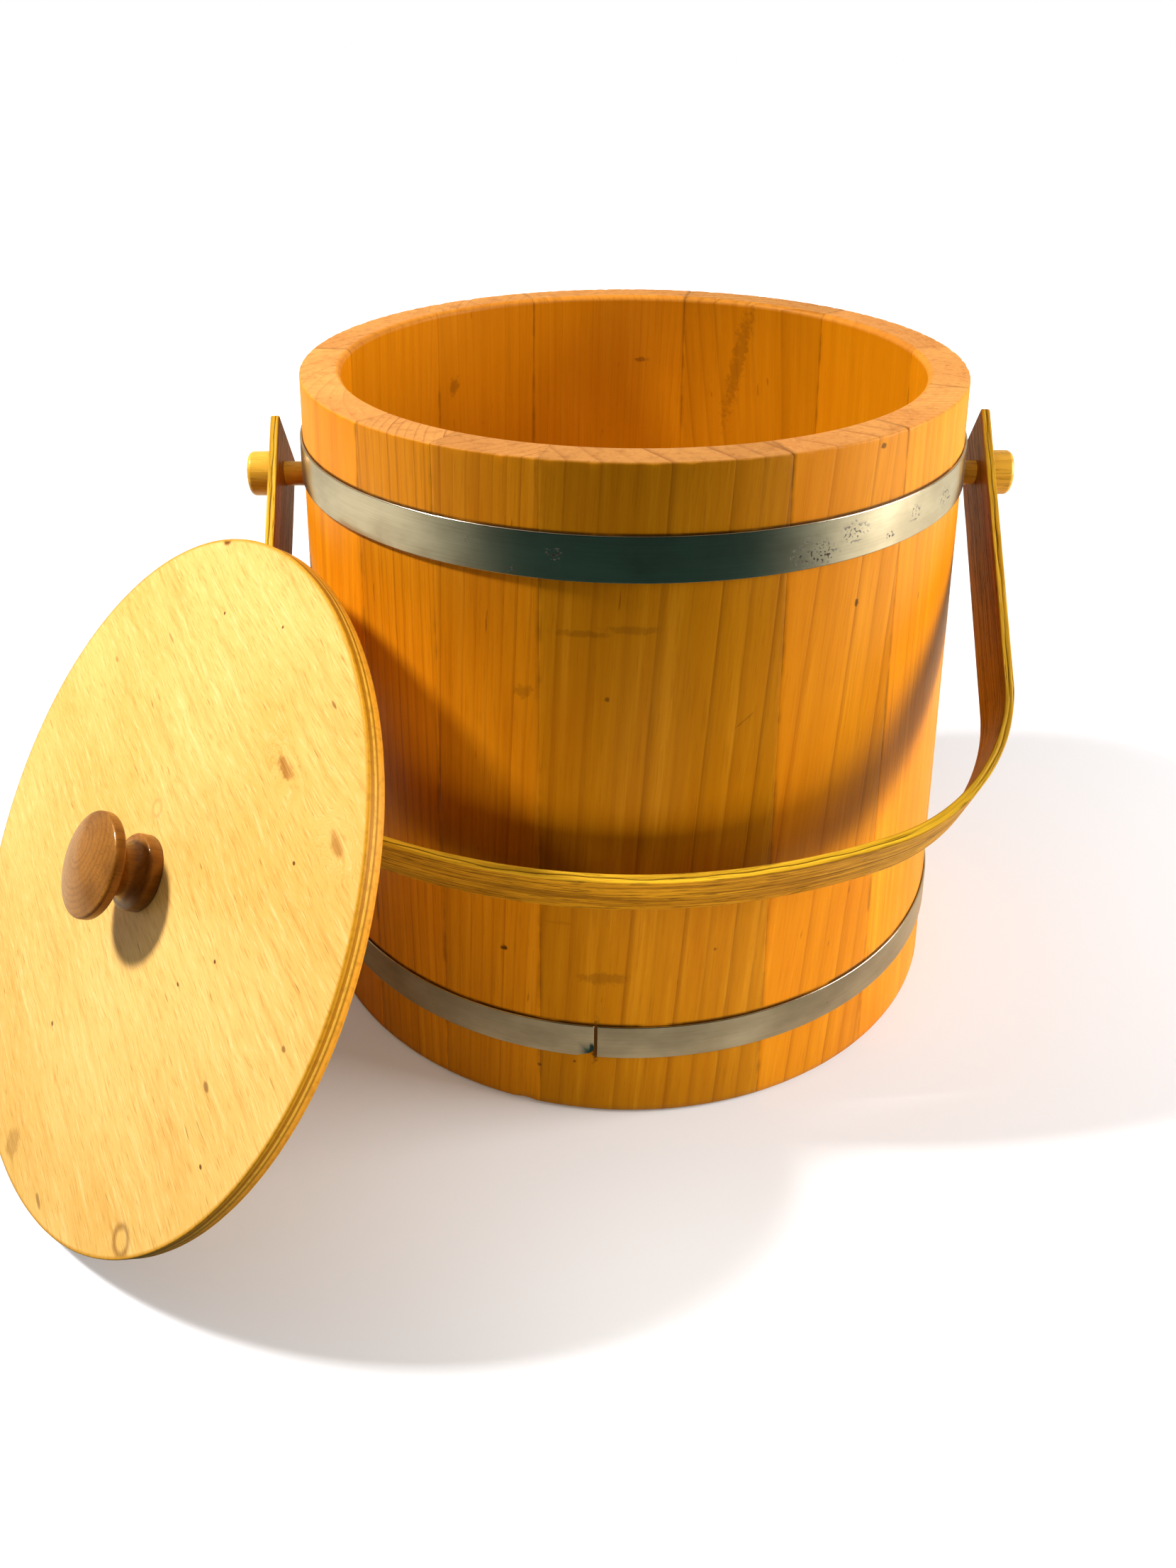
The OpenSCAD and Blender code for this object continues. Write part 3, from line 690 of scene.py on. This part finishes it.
def bail_wood():
    """Coarse open-grained wood with the strip's own coordinates: along it, across its width, through it.

    The broad faces have long streaks and pores. The narrow edges are golden, worn pale, with a dark wavy
    line where the strip was split. The inner face, toward the tub, is painted darker and redder: painted
    shade."""
    s = Shader("bail_wood")
    strip = s.attribute("strip")
    edge, inner, groove = s.split(s.attribute("side"))
    streak = s.noise(strip, 800.0, 4.0, 0.65, (0.025, 1.0, 1.0))
    pore = s.noise(strip, 1250.0, 2.0, 0.6, (0.07, 1.0, 1.0))
    vein = s.noise(strip, 330.0, 3.0, 0.6, (0.03, 1.0, 1.0))
    cloud = s.noise(strip, 30.0, 3.0, 0.5, (0.4, 1.0, 1.0))
    face = s.mix(s.step(streak, 0.40, 0.64), "#D0941A", "#92600A")
    face = s.tint(face, cloud, 0.35, 0.7, 0.5, "#A4680C")
    # Painted shade: the inner face, which faces the tub, gets darker, redder colours
    inner_shade = s.mix(s.step(streak, 0.35, 0.7), "#7C3E0A", "#401C04")
    face = s.mix(s.times(inner, 0.8), face, inner_shade)
    face = s.tint(face, pore, 0.56, 0.64, 0.70, "#3A2006")
    face = s.tint(face, vein, 0.50, 0.62, 0.65, "#6E4406")
    gold = s.mix(s.step(streak, 0.35, 0.7), "#D8A828", "#A07414")
    gold = s.tint(gold, pore, 0.66, 0.74, 0.6, "#5A3808")
    face = s.mix(edge, face, gold)
    face = s.mix(s.times(groove, s.step(vein, 0.40, 0.52)), face, "#3E2204")
    height = s.scaled(s.step(pore, 0.55, 0.72), -1.0, s.times(streak, 0.8))
    s.lacquer(0.20)
    return s.finish(face, s.scaled(streak, 0.3, 0.28), s.bump(height, 0.00035, 0.8))


def bail_path(count):
    """The strip's middle line in its own plane, from tip to tip: leg, bend, bowed bar, bend and leg.

    Each stretch is a straight line or an arc that leaves the last one along its tangent. It gives the places
    across and down, the unit tangent, the distance along, and the distance from the nearer tip."""
    reach = BAIL_HALF_SPAN - LEG_LENGTH * math.sin(BAIL_LEAN) - BEND_RADIUS * math.cos(BAIL_LEAN)
    half_bar = math.asin(reach / (BAR_RADIUS - BEND_RADIUS))
    bend_turn = math.pi / 2 - BAIL_LEAN - half_bar
    lengths = [RIGHT_TIP + LEG_LENGTH, BEND_RADIUS * bend_turn, 2 * BAR_RADIUS * half_bar,
               BEND_RADIUS * bend_turn, LEFT_TIP + LEG_LENGTH]
    bows = (0, 1 / BEND_RADIUS, 1 / BAR_RADIUS, 1 / BEND_RADIUS, 0)
    bounds = np.r_[0, np.cumsum(lengths)]
    whole = bounds[-1]

    def heading(at):
        """The lean, and the bow of every stretch times the length of it that has been passed."""
        turned_by = np.zeros(len(at))
        for first, last, bow in zip(bounds[:-1], bounds[1:], bows):
            turned_by += np.clip(at - first, 0, last - first) * bow
        return BAIL_LEAN + turned_by

    tip_steps = TIP_CORNER * np.array([0, 0.01, 0.04, 0.10, 0.20, 0.33, 0.50, 0.70, 1.0, 1.4])
    along = np.r_[tip_steps, np.linspace(2 * TIP_CORNER, whole - 2 * TIP_CORNER, count),
                  (whole - tip_steps)[::-1]]
    tangent = np.c_[-np.sin(heading(along)), np.cos(heading(along))]
    fine = np.linspace(0, whole, 20001)
    step = fine[1] - fine[0]
    fine_heading = heading(fine)
    middle = (fine_heading[1:] + fine_heading[:-1]) / 2
    x = BAIL_HALF_SPAN + RIGHT_TIP * math.sin(BAIL_LEAN) + np.r_[0, np.cumsum(-np.sin(middle) * step)]
    y = -RIGHT_TIP * math.cos(BAIL_LEAN) + np.r_[0, np.cumsum(np.cos(middle) * step)]
    place = np.c_[np.interp(along, fine, x), np.interp(along, fine, y)]
    return place, tangent, along, np.minimum(along, whole - along)


def bore(piece):
    """Cuts the two holes that the pegs' shanks pass through, by a long cylinder on the pegs' axis."""
    sides = 64
    t = np.linspace(0, 2 * np.pi, sides, endpoint=False)
    r = PEG_RADIUS + PIVOT_PLAY
    ring = np.stack([np.zeros(sides), r * np.cos(t), PEG_HEIGHT + r * np.sin(t)], -1)
    reach = np.array([1.2 * BAIL_HALF_SPAN, 0, 0])
    ends = [list(range(sides - 1, -1, -1)), list(range(sides, 2 * sides))]
    mesh = bpy.data.meshes.new("drill")
    mesh.from_pydata(np.vstack([ring - reach, ring + reach]).tolist(), [],
                     grid_faces(2, sides).tolist() + ends)
    drill = added("drill", mesh)
    cut = piece.modifiers.new("holes", "BOOLEAN")
    cut.operation = "DIFFERENCE"
    cut.solver = "EXACT"
    cut.object = drill
    bpy.context.view_layer.update()
    bored = bpy.data.meshes.new_from_object(piece.evaluated_get(bpy.context.evaluated_depsgraph_get()))
    piece.modifiers.clear()
    piece.data = bored
    bpy.data.objects.remove(drill)
    bored.set_sharp_from_angle(angle=math.radians(50))


def carry(mesh, points, attributes):
    """Gives each point of the bored mesh the attributes of the nearest point of the strip before it."""
    tree = KDTree(len(points))
    for number, point in enumerate(points):
        tree.insert(point, number)
    tree.balance()
    nearest = [tree.find(vertex.co)[1] for vertex in mesh.vertices]
    give(mesh, {key: values[nearest] for key, values in attributes.items()})


def bail():
    """The strip's rounded section carried along its path, then turned about the pegs to where it rests.

    The section is walked round once: outer face, narrow edge, inner face, other narrow edge. Its half width
    is a quarter circle at each cut end and full from there on, less a little wear."""
    place, tangent, along, from_tip = bail_path(260)
    q = np.clip(from_tip / TIP_CORNER, 0, 1)
    half = BAIL_WIDTH / 2 - TIP_CORNER * (1 - np.sqrt(q * (2 - q)))
    half = half - 0.12 * MM * np.abs(waves(along, 91, 40 * MM))
    thick = BAIL_THICKNESS / 2 - 0.03 * MM * np.abs(waves(along, 92, 70 * MM))
    thick = thick * np.clip(0.7 + 0.3 * from_tip / (1.2 * MM), 0.7, 1)
    groove = SPLIT_DEPTH * np.clip(0.55 + 0.6 * waves(along, 93, 55 * MM), 0.05, 1.0)
    groove = np.minimum(groove, 0.3 * half)
    drift = np.clip(0.45 * MM * waves(along, 94, 45 * MM), -SPLIT_DRIFT, SPLIT_DRIFT)
    rounding = np.minimum(BAIL_ARRIS, 0.4 * half)
    places = np.linspace(-1, 1, 13)
    turns = np.radians([0, 30, 60, 90])
    columns = []

    def broad_face(t, across, inner):
        """The face on side t of the thickness, at some places across it."""
        for w in across:
            columns.append((w * (half - rounding), t * thick, (0.0, inner, 0.0)))

    def corner(w, t, angles, inner):
        """The quarter round between that face and the narrow edge on side w of the width."""
        for c in angles:
            width = half - rounding + rounding * np.sin(c)
            through = thick - rounding + rounding * np.cos(c)
            columns.append((w * width, t * through, (c / turns[-1], inner, 0.0)))

    def narrow_edge(w):
        """The edge on side w, cut in along the split line, which drifts through the thickness."""
        for offset, cut in ((SPLIT_HALF_WIDTH, 0.0), (0.0, 1.0), (-SPLIT_HALF_WIDTH, 0.0)):
            columns.append((w * (half - cut * groove), w * (drift + offset), (1.0, 0.0, cut)))

    broad_face(1, places, 0.0)
    corner(1, 1, turns[1:], 0.0)
    narrow_edge(1)
    corner(1, -1, turns[::-1], 1.0)
    broad_face(-1, places[::-1][1:], 1.0)
    corner(-1, -1, turns[1:], 1.0)
    narrow_edge(-1)
    corner(-1, 1, turns[:0:-1], 0.0)
    width = np.stack([column[0] for column in columns], 1)
    through = np.stack([column[1] for column in columns], 1)
    side = np.broadcast_to([column[2] for column in columns], width.shape + (3,))
    outward = np.c_[tangent[:, 1], -tangent[:, 0]]
    x = place[:, 0, None] + outward[:, 0, None] * through
    down = place[:, 1, None] + outward[:, 1, None] * through
    drop = np.array([0, -math.sin(BAIL_REST_ANGLE), -math.cos(BAIL_REST_ANGLE)])
    breadth = np.array([0, -math.cos(BAIL_REST_ANGLE), math.sin(BAIL_REST_ANGLE)])
    points = x[..., None] * np.array([1.0, 0, 0]) + down[..., None] * drop + width[..., None] * breadth
    points += np.array([0, 0, PEG_HEIGHT])
    strip = np.stack([np.broadcast_to(along[:, None], width.shape), width, through], -1)
    piece = swept("bail_strip", points, "bail", bail_wood(), {}, order=1)
    bore(piece)
    carry(piece.data, points.reshape(-1, 3), {"strip": strip.reshape(-1, 3), "side": side.reshape(-1, 3)})
    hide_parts("bail_handle")


bail()


# Lid panel
# A disc of birch plywood, as wide as the rim and its bevel, cut from a sheet of about a quarter inch.
# It leans beside the tub, its lowest edge on the floor and the disc under it against the bail's left leg.
LID_RADIUS, LID_THICKNESS = 128 * MM, 6.4 * MM
LID_SLOPE, LID_DIRECTION, LID_DISTANCE = math.radians(34.8), math.radians(-143.8), 220.6 * MM
PLY_LINES = np.array([1.25, 2.6, 3.9, 5.15]) * MM
DISC_EDGE, DISC_HAIR = 0.5 * MM, 0.07 * MM
outward = np.array([math.cos(LID_DIRECTION), math.sin(LID_DIRECTION), 0.0])
upward = np.array([0.0, 0.0, 1.0])
lid_out = math.cos(LID_SLOPE) * outward + math.sin(LID_SLOPE) * upward
lid_down = math.sin(LID_SLOPE) * outward - math.cos(LID_SLOPE) * upward
lid_side = np.cross(lid_out, lid_down)
lid_rise = LID_RADIUS * math.cos(LID_SLOPE) + LID_THICKNESS * math.sin(LID_SLOPE)
lid_centre = LID_DISTANCE * outward + lid_rise * upward
FACE_GRAIN = math.radians(-14.5)


def on_sheet(down, side, half_across, half_along, strength):
    """A mark on the lid's face: its place in mm down the slope and to the side, then its half sizes in mm.

    It gives the place across the grain and along it."""
    c, s = math.cos(FACE_GRAIN), math.sin(FACE_GRAIN)
    return (down * c + side * s, side * c - down * s, 0.0), (half_across, half_along, 6), 0.0, strength


KNOTS = [on_sheet(-71.3, 52.0, 3.0, 7.0, 1.0), on_sheet(-65.6, 94.0, 3.5, 6.0, 0.7)]
SPECKS = [on_sheet(*mark) for mark in (
    (-50.3, 78.3, 0.7, 0.9, 1), (-4.8, 63.1, 0.7, 0.9, 1), (12.6, 49.7, 0.6, 1.1, 1),
    (-96.9, -24.8, 0.7, 0.7, 1), (-106.8, 14.7, 0.7, 0.7, 1), (44.1, 103.3, 0.7, 1.0, 1),
    (25.7, 88.1, 1.3, 2.4, 0.7), (71.6, -14.4, 0.8, 1.2, 0.9), (-75.4, -53.6, 0.6, 4, 0.5),
    (-6.5, 113.8, 1.1, 1.4, 0.7), (-119.5, -45.4, 2.6, 3.5, 1), (118, 28.7, 1.2, 4, 0.6),
    (118.2, -4.3, 6, 6, 0.35), (-98, 61, 0.6, 2.4, 0.7), (-52, -88, 0.8, 2.0, 0.5))]
RING_MARKS = [on_sheet(89.1, 83.4, 5.0, 5.6, 0.8), on_sheet(-23.7, -10.6, 3.4, 3.8, 0.35)]


def plywood():
    """Pale rotary-cut birch with short flecks along the grain, faint knots, and banded plies at the edge.

    sheet holds metres across the grain, along it and below the face. layer holds how far a point is on the
    edge, the depth in parts of the thickness, and whether it is on the lower half."""
    s = Shader("lid_plywood")
    sheet = s.attribute("sheet")
    edge, ply, below = s.split(s.attribute("layer"))
    rag = s.scaled(s.noise(sheet, 300.0, 3.0, 0.6), 1.2, -0.6)
    swirl = 0.0
    for centre, half, lean, strength in KNOTS:
        knot = s.blot(sheet, centre, [2.2 * h for h in half], lean, rag)
        swirl = s.math("ADD", s.times(knot, 0.004 * strength), swirl)
    swirl = s.scaled(s.noise(sheet, 24.0, 2.0, 0.5), 0.006, swirl)
    bent = s.vector("ADD", sheet, s.join(swirl, 0.0, 0.0))
    fleck = s.noise(bent, 1800.0, 3.0, 0.6, (1.0, 0.06, 1.0))
    dash = s.noise(bent, 800.0, 2.0, 0.5, (1.0, 0.08, 1.0))
    line = s.noise(bent, 330.0, 4.0, 0.6, (1.0, 0.05, 1.0))
    cloud = s.noise(sheet, 14.0, 3.0, 0.5, (1.0, 0.6, 1.0))
    face = s.mix(s.step(cloud, 0.35, 0.68), "#E8B868", "#DCAA56")
    face = s.tint(face, line, 0.48, 0.72, 0.50, "#CA9040")
    face = s.tint(face, line, 0.46, 0.28, 0.45, "#F2CE8A")
    face = s.tint(face, fleck, 0.53, 0.68, 0.50, "#AE782A")
    face = s.tint(face, fleck, 0.45, 0.30, 0.35, "#FAE0A2")
    face = s.tint(face, dash, 0.68, 0.76, 0.65, "#8A5412")
    knots = s.blots(sheet, KNOTS, rag)
    face = s.mix(s.times(knots, s.step(line, 0.30, 0.60)), face, "#9A6220")
    marks = s.blots(sheet, SPECKS, s.times(rag, 0.6))
    for centre, half, lean, strength in RING_MARKS:
        faint = s.times(rag, 0.2)
        inner = s.blot(sheet, centre, [0.80 * h for h in half], lean, faint)
        outer = s.blot(sheet, centre, [1.15 * h for h in half], lean, faint)
        ring = s.times(s.math("SUBTRACT", outer, inner), strength)
        marks = s.math("MAXIMUM", marks, ring)
    marks = s.times(marks, s.math("SUBTRACT", 1.0, below))
    face = s.mix(marks, face, "#6A3C10")
    bands = s.ramp(ply, [(0.0, "#C88C20"), (0.15, "#B67C14"), (0.19, "#9A620C"), (0.34, "#A46A10"),
                         (0.38, "#D8A43C"), (0.48, "#D09A34"), (0.52, "#96600C"), (0.60, "#A26C12"),
                         (0.64, "#D8942A"), (1.0, "#C88018")])
    bands = s.tint(bands, s.noise(sheet, 500.0, 3.0), 0.45, 0.7, 0.3, "#7A4A0C")
    face = s.mix(edge, face, bands)
    height = s.scaled(s.noise(sheet, 240.0, 3.0), 0.6, fleck)
    s.lacquer(0.30, 0.04, 0.3)
    return s.finish(face, s.scaled(fleck, 0.25, 0.32), s.bump(height, 0.00015, 0.4))


def disc(name, radius, top, thickness, seed, replaced):
    """A round plate in the lid's own plane: rings of points over the face, round the edge and under it.

    A point is centre + down r cos t + side r sin t + out h. The edge is hollowed a hair between plies."""
    segments, face_rings, under_rings = 256, 22, 12
    t = np.linspace(0, 2 * np.pi, segments, endpoint=False)
    radius = radius - DISC_HAIR
    edge = DISC_EDGE
    corner = np.radians([0, 30, 60, 90])
    over_r = np.r_[np.linspace(0.02, 0.94, face_rings) * radius, radius - 3 * edge,
                   radius - edge + edge * np.sin(corner)]
    over_h = np.r_[np.full(face_rings + 1, 0.0), -edge + edge * np.cos(corner)]
    side_h = np.linspace(edge, thickness - edge, 25)[1:-1]
    gap = np.min(np.abs(side_h[:, None] - PLY_LINES[None, :] * thickness / LID_THICKNESS), 1)
    side_r = radius - 0.09 * MM * np.exp(-(gap / (0.16 * MM)) ** 2)
    under_r = np.r_[radius - edge + edge * np.cos(corner), radius - 3 * edge,
                    np.linspace(0.94, 0.02, under_rings) * radius]
    under_h = np.r_[-thickness + edge - edge * np.sin(corner), np.full(under_rings + 1, -thickness)]
    rings_r, rings_h = np.r_[over_r, side_r, under_r], np.r_[over_h, -side_h, under_h]
    rough_edge = np.minimum(0.06 * MM * waves(t * radius, seed, 25 * MM), 0)
    r = rings_r[:, None] + rough_edge[None, :] * (rings_r > radius - 2 * edge)[:, None]
    h = np.broadcast_to(rings_h[:, None], r.shape)
    x, y = r * np.cos(t), r * np.sin(t)
    points = lid_centre + x[..., None] * lid_down + y[..., None] * lid_side + (h + top)[..., None] * lid_out
    ca, sa = math.cos(FACE_GRAIN), math.sin(FACE_GRAIN)
    sheet = np.stack([x * ca + y * sa, -x * sa + y * ca, h], -1)
    at_edge = np.clip((r - (radius - 2 * edge)) / edge, 0, 1)
    layer = np.stack([at_edge, np.clip(-h / thickness, 0, 1), (h < -thickness / 2).astype(float)], -1)
    piece = swept(name, points, "lid", plywood_material, {"sheet": sheet, "layer": layer})
    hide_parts(replaced)


plywood_material = plywood()
disc("lid_panel_ply", LID_RADIUS, 0.0, LID_THICKNESS, 21, "lid_panel")


# Locating disc
# A smaller disc of the same plywood, screwed under the panel. It drops into the tub's mouth and centres the
# lid there.
LOCATOR_RADIUS, LOCATOR_THICKNESS = 108 * MM, 5.2 * MM
disc("lid_locating_ply", LOCATOR_RADIUS, -LID_THICKNESS, LOCATOR_THICKNESS, 22, "lid_locating_disc")


# Knob
# A hardwood knob turned in one piece: a rounded foot on the panel, a hollow waist and a thick flat head.
# One wood screw comes up into it through both discs.
KNOB_HEIGHT, KNOB_RADIUS, KNOB_FOOT_RADIUS, KNOB_WAIST_RADIUS = 23.5 * MM, 19.2 * MM, 14.05 * MM, 9.45 * MM
KNOB_RISE, KNOB_SHIFT, KNOB_EDGE = 1.9 * MM, 0.6 * MM, 1.4 * MM


def knob_outline():
    """Height and radius from the foot up: rounded foot, cove in, cove out, rounded upright band, low dome.

    The coves are quarter ellipses, and the dome falls off with the square of the radius."""
    foot_top, waist, brim, face = np.array([0.22, 0.4, 0.7, 0.89]) * KNOB_HEIGHT
    edge = KNOB_EDGE
    foot_in, band = KNOB_FOOT_RADIUS - edge, KNOB_RADIUS - edge
    q = np.linspace(0, np.pi / 2, 14)
    foot = np.c_[foot_top - edge + edge * np.sin(q[::2]), foot_in + edge * np.cos(q[::2])]
    inward = np.c_[waist - (waist - foot_top) * np.cos(q),
                   foot_in - (foot_in - KNOB_WAIST_RADIUS) * np.sin(q)][1:]
    outward = np.c_[waist + (brim - waist) * np.sin(q),
                    band - (band - KNOB_WAIST_RADIUS) * np.cos(q)][1:-1]
    low = np.c_[brim + edge - edge * np.cos(q[::2]), band + edge * np.sin(q[::2])]
    high = np.c_[face - edge + edge * np.sin(q[:-2:2]), band + edge * np.cos(q[:-2:2])]
    fine = np.linspace(1, 0.02, 22)
    dome = np.c_[face + (KNOB_HEIGHT - face) * (1 - fine ** 2), band * fine][1:]
    start = [(0.0, 0.4 * MM), (0.0, KNOB_FOOT_RADIUS - 0.3 * MM), (0.35 * MM, KNOB_FOOT_RADIUS)]
    return np.vstack([start, foot, inward, outward, low, high, dome])


knob_material = turned_wood("knob_wood", "#966020", "#64380C", "#3A1C04", 0.26)
knob_foot = lid_centre - KNOB_RISE * lid_down - KNOB_SHIFT * lid_side
knob = turned("knob_turned", knob_outline(), knob_foot, (lid_out, lid_down, lid_side), "lid",
              knob_material, segments=128)
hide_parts("lid_knob")


# Knob screw
# A countersunk steel wood screw under the locating disc. Its solid stays, with a dull zinc-grey finish.
def screw_steel():
    """Dull zinc, stained by noise on the object's own coordinates."""
    s = Shader("screw_steel")
    stain = s.noise(s.node("TexCoord", output=3), 500.0, 3.0)
    s.surface.inputs["Metallic"].default_value = 1.0
    zinc = s.mix(stain, "#B8B8B4", "#7A7872")
    return s.finish(zinc, s.scaled(stain, 0.3, 0.25))


dress("knob_screw", screw_steel())


# Floor and light
# A pale floor that runs on out of sight, a strong light from the left and a low one from the right. Only
# reflections and shading see that the room is dim and green in front. Two weak lights, low in front and
# inside the tub, stand in for light thrown back by the cloth and the wood.
FLOOR_HALF = 8.0
CLOTH, SEEN_CLOTH, WHITE = "#F0EDE8", "#E2E4E9", (1.0, 1.0, 1.0, 1.0)
DIM, REFLECTED = (0.014, 0.040, 0.034, 1.0), (0.63, 0.56, 0.41, 1.0)
SURROUND, CEILING = (0.10, 0.10, 0.10, 1.0), (0.84, 0.82, 0.76, 1.0)
# Where the dim part starts on the floor, as Y, how wide it is, and how soft its sides are
DIM_EDGE, DIM_HALF_WIDTH, DIM_SOFT = (-0.22, -0.38), 0.62, 0.15
# Mirrored in the hoops it is a wedge: the cosine of the angle from -Y at its sides, and where it starts
WEDGE, WEDGE_START = (0.05, 0.86), (0.14, 0.32)
# The floor in the lid's shade, which throws back less light: its middle and how far it reaches
SHADE, SHADE_REACH, SHADE_DEPTH = (-0.17, -0.10, 0.0), (0.14, 0.32), 0.95
# How far off the floor fades to white, its glow near the object, and how much more it glows far away
FADE, NEAR_GLOW, FAR_GLOW = (0.45, 1.1), 0.06, 0.8
# The directions where the surround turns dim, by their Y, and where the pale ceiling starts, by their Z
DIM_SIDE, CEILING_START = (-0.80, -0.45), (0.72, 0.92)
DAYLIGHT, WARM_LIGHT, WOOD_LIGHT = (1.0, 0.98, 0.95), (1.0, 0.94, 0.84), (1.0, 0.92, 0.80)
TUB_MIDDLE, BACK_STAVES = (0, 0, 0.12), (0, 0.06, 0.185)


def floor():
    """One square of pale cloth, fading to plain white far off, with the dim part and its mirrored wedge.

    The dim part is the product of two smooth steps, of Y toward the front and of X away from the middle."""
    s = Shader("floor_white")
    place = s.node("TexCoord", output=3)
    x, y, z = s.split(place)
    path = s.node("LightPath").node.outputs
    camera_ray, glossy_ray = path["Is Camera Ray"], path["Is Glossy Ray"]
    front = s.step(y, *DIM_EDGE)
    middle = s.step(s.math("ABSOLUTE", x), DIM_HALF_WIDTH + DIM_SOFT, DIM_HALF_WIDTH - DIM_SOFT)
    dim = s.times(s.times(front, middle), s.math("SUBTRACT", 1.0, camera_ray))
    reach = s.length(place)
    cosine = s.math("DIVIDE", s.times(y, -1.0), reach)
    wedge = s.times(s.step(cosine, *WEDGE), s.step(reach, *WEDGE_START))
    off = s.length(s.vector("SUBTRACT", place, SHADE))
    shade = s.times(s.step(off, SHADE_REACH[1], SHADE_REACH[0]), SHADE_DEPTH)
    dim = s.math("MAXIMUM", dim, shade)
    cloth = s.mix(camera_ray, s.mix(dim, CLOTH, DIM), SEEN_CLOTH)
    s.surface.inputs["Specular IOR Level"].default_value = 0.1
    s.surface.inputs["Emission Color"].default_value = WHITE
    glow = s.scaled(s.step(reach, *FADE), FAR_GLOW, NEAR_GLOW)
    s.put(s.surface.inputs["Emission Strength"], s.times(glow, camera_ray))
    mesh = bpy.data.meshes.new("floor")
    c = FLOOR_HALF
    mesh.from_pydata([(-c, -c, 0), (c, -c, 0), (c, c, 0), (-c, c, 0)], [], [(0, 1, 2, 3)])
    mesh.materials.append(s.finish(s.mix(glossy_ray, cloth, s.mix(wedge, REFLECTED, DIM)), 0.9))
    added("floor", mesh)


def area_light(name, direction, elevation, distance, size, power, colour, target=TUB_MIDDLE):
    """A square soft light that faces a target from a direction and an elevation, both in degrees."""
    light = bpy.data.lights.new(name, "AREA")
    light.shape = "SQUARE"
    light.size = size
    light.energy = power
    light.color = colour
    made = added(name, light)
    a, e = math.radians(direction), math.radians(elevation)
    back = np.array([math.cos(e) * math.cos(a), math.cos(e) * math.sin(a), math.sin(e)])
    side = np.cross([0, 0, 1], back)
    side /= np.linalg.norm(side)
    made.matrix_world = placed(side, np.cross(back, side), back, distance * back + target)
    return made


def bounce_light(spread, *settings):
    """A weak light that stands in for light thrown back by cloth or wood, and is itself never seen."""
    made = area_light(*settings)
    made.data.spread = math.radians(spread)
    made.visible_camera = False
    made.visible_glossy = False


def room():
    """The world: white to the camera, a grey surround with a pale ceiling to shading, warm in reflections.

    The surround is a smooth step of the direction's Y, then of its Z. The reflections have the wedge."""
    s = Shader("room", "worlds")
    direction = s.node("TexCoord")
    x, y, z = s.split(direction)
    level = s.node("VectorMath", {0: s.vector("MULTIPLY", direction, (1, 1, 0))}, operation="NORMALIZE")
    path = s.node("LightPath").node.outputs
    surround = s.mix(s.step(y, *DIM_SIDE), DIM, SURROUND)
    surround = s.mix(s.step(z, *CEILING_START), surround, CEILING)
    mirrored = s.mix(s.step(s.split(level)[1], -WEDGE[1], -WEDGE[0]), DIM, REFLECTED)
    unseen = s.mix(path["Is Glossy Ray"], surround, mirrored)
    s.put(s.nodes["Background"].inputs[0], s.mix(path["Is Camera Ray"], unseen, WHITE))
    bpy.context.scene.world = s.made


floor()
room()
area_light("key", 183, 49.5, 1.5, 0.18, 34, DAYLIGHT)
area_light("right", -8, 18, 1.3, 0.70, 24, DAYLIGHT)
bounce_light(110, "card", -85, -11, 0.34, 0.13, 0.15, WARM_LIGHT)
bounce_light(70, "inside", -90, 6, 0.15, 0.06, 0.027, WOOD_LIGHT, BACK_STAVES)
bpy.context.scene.view_settings.view_transform = "Standard"
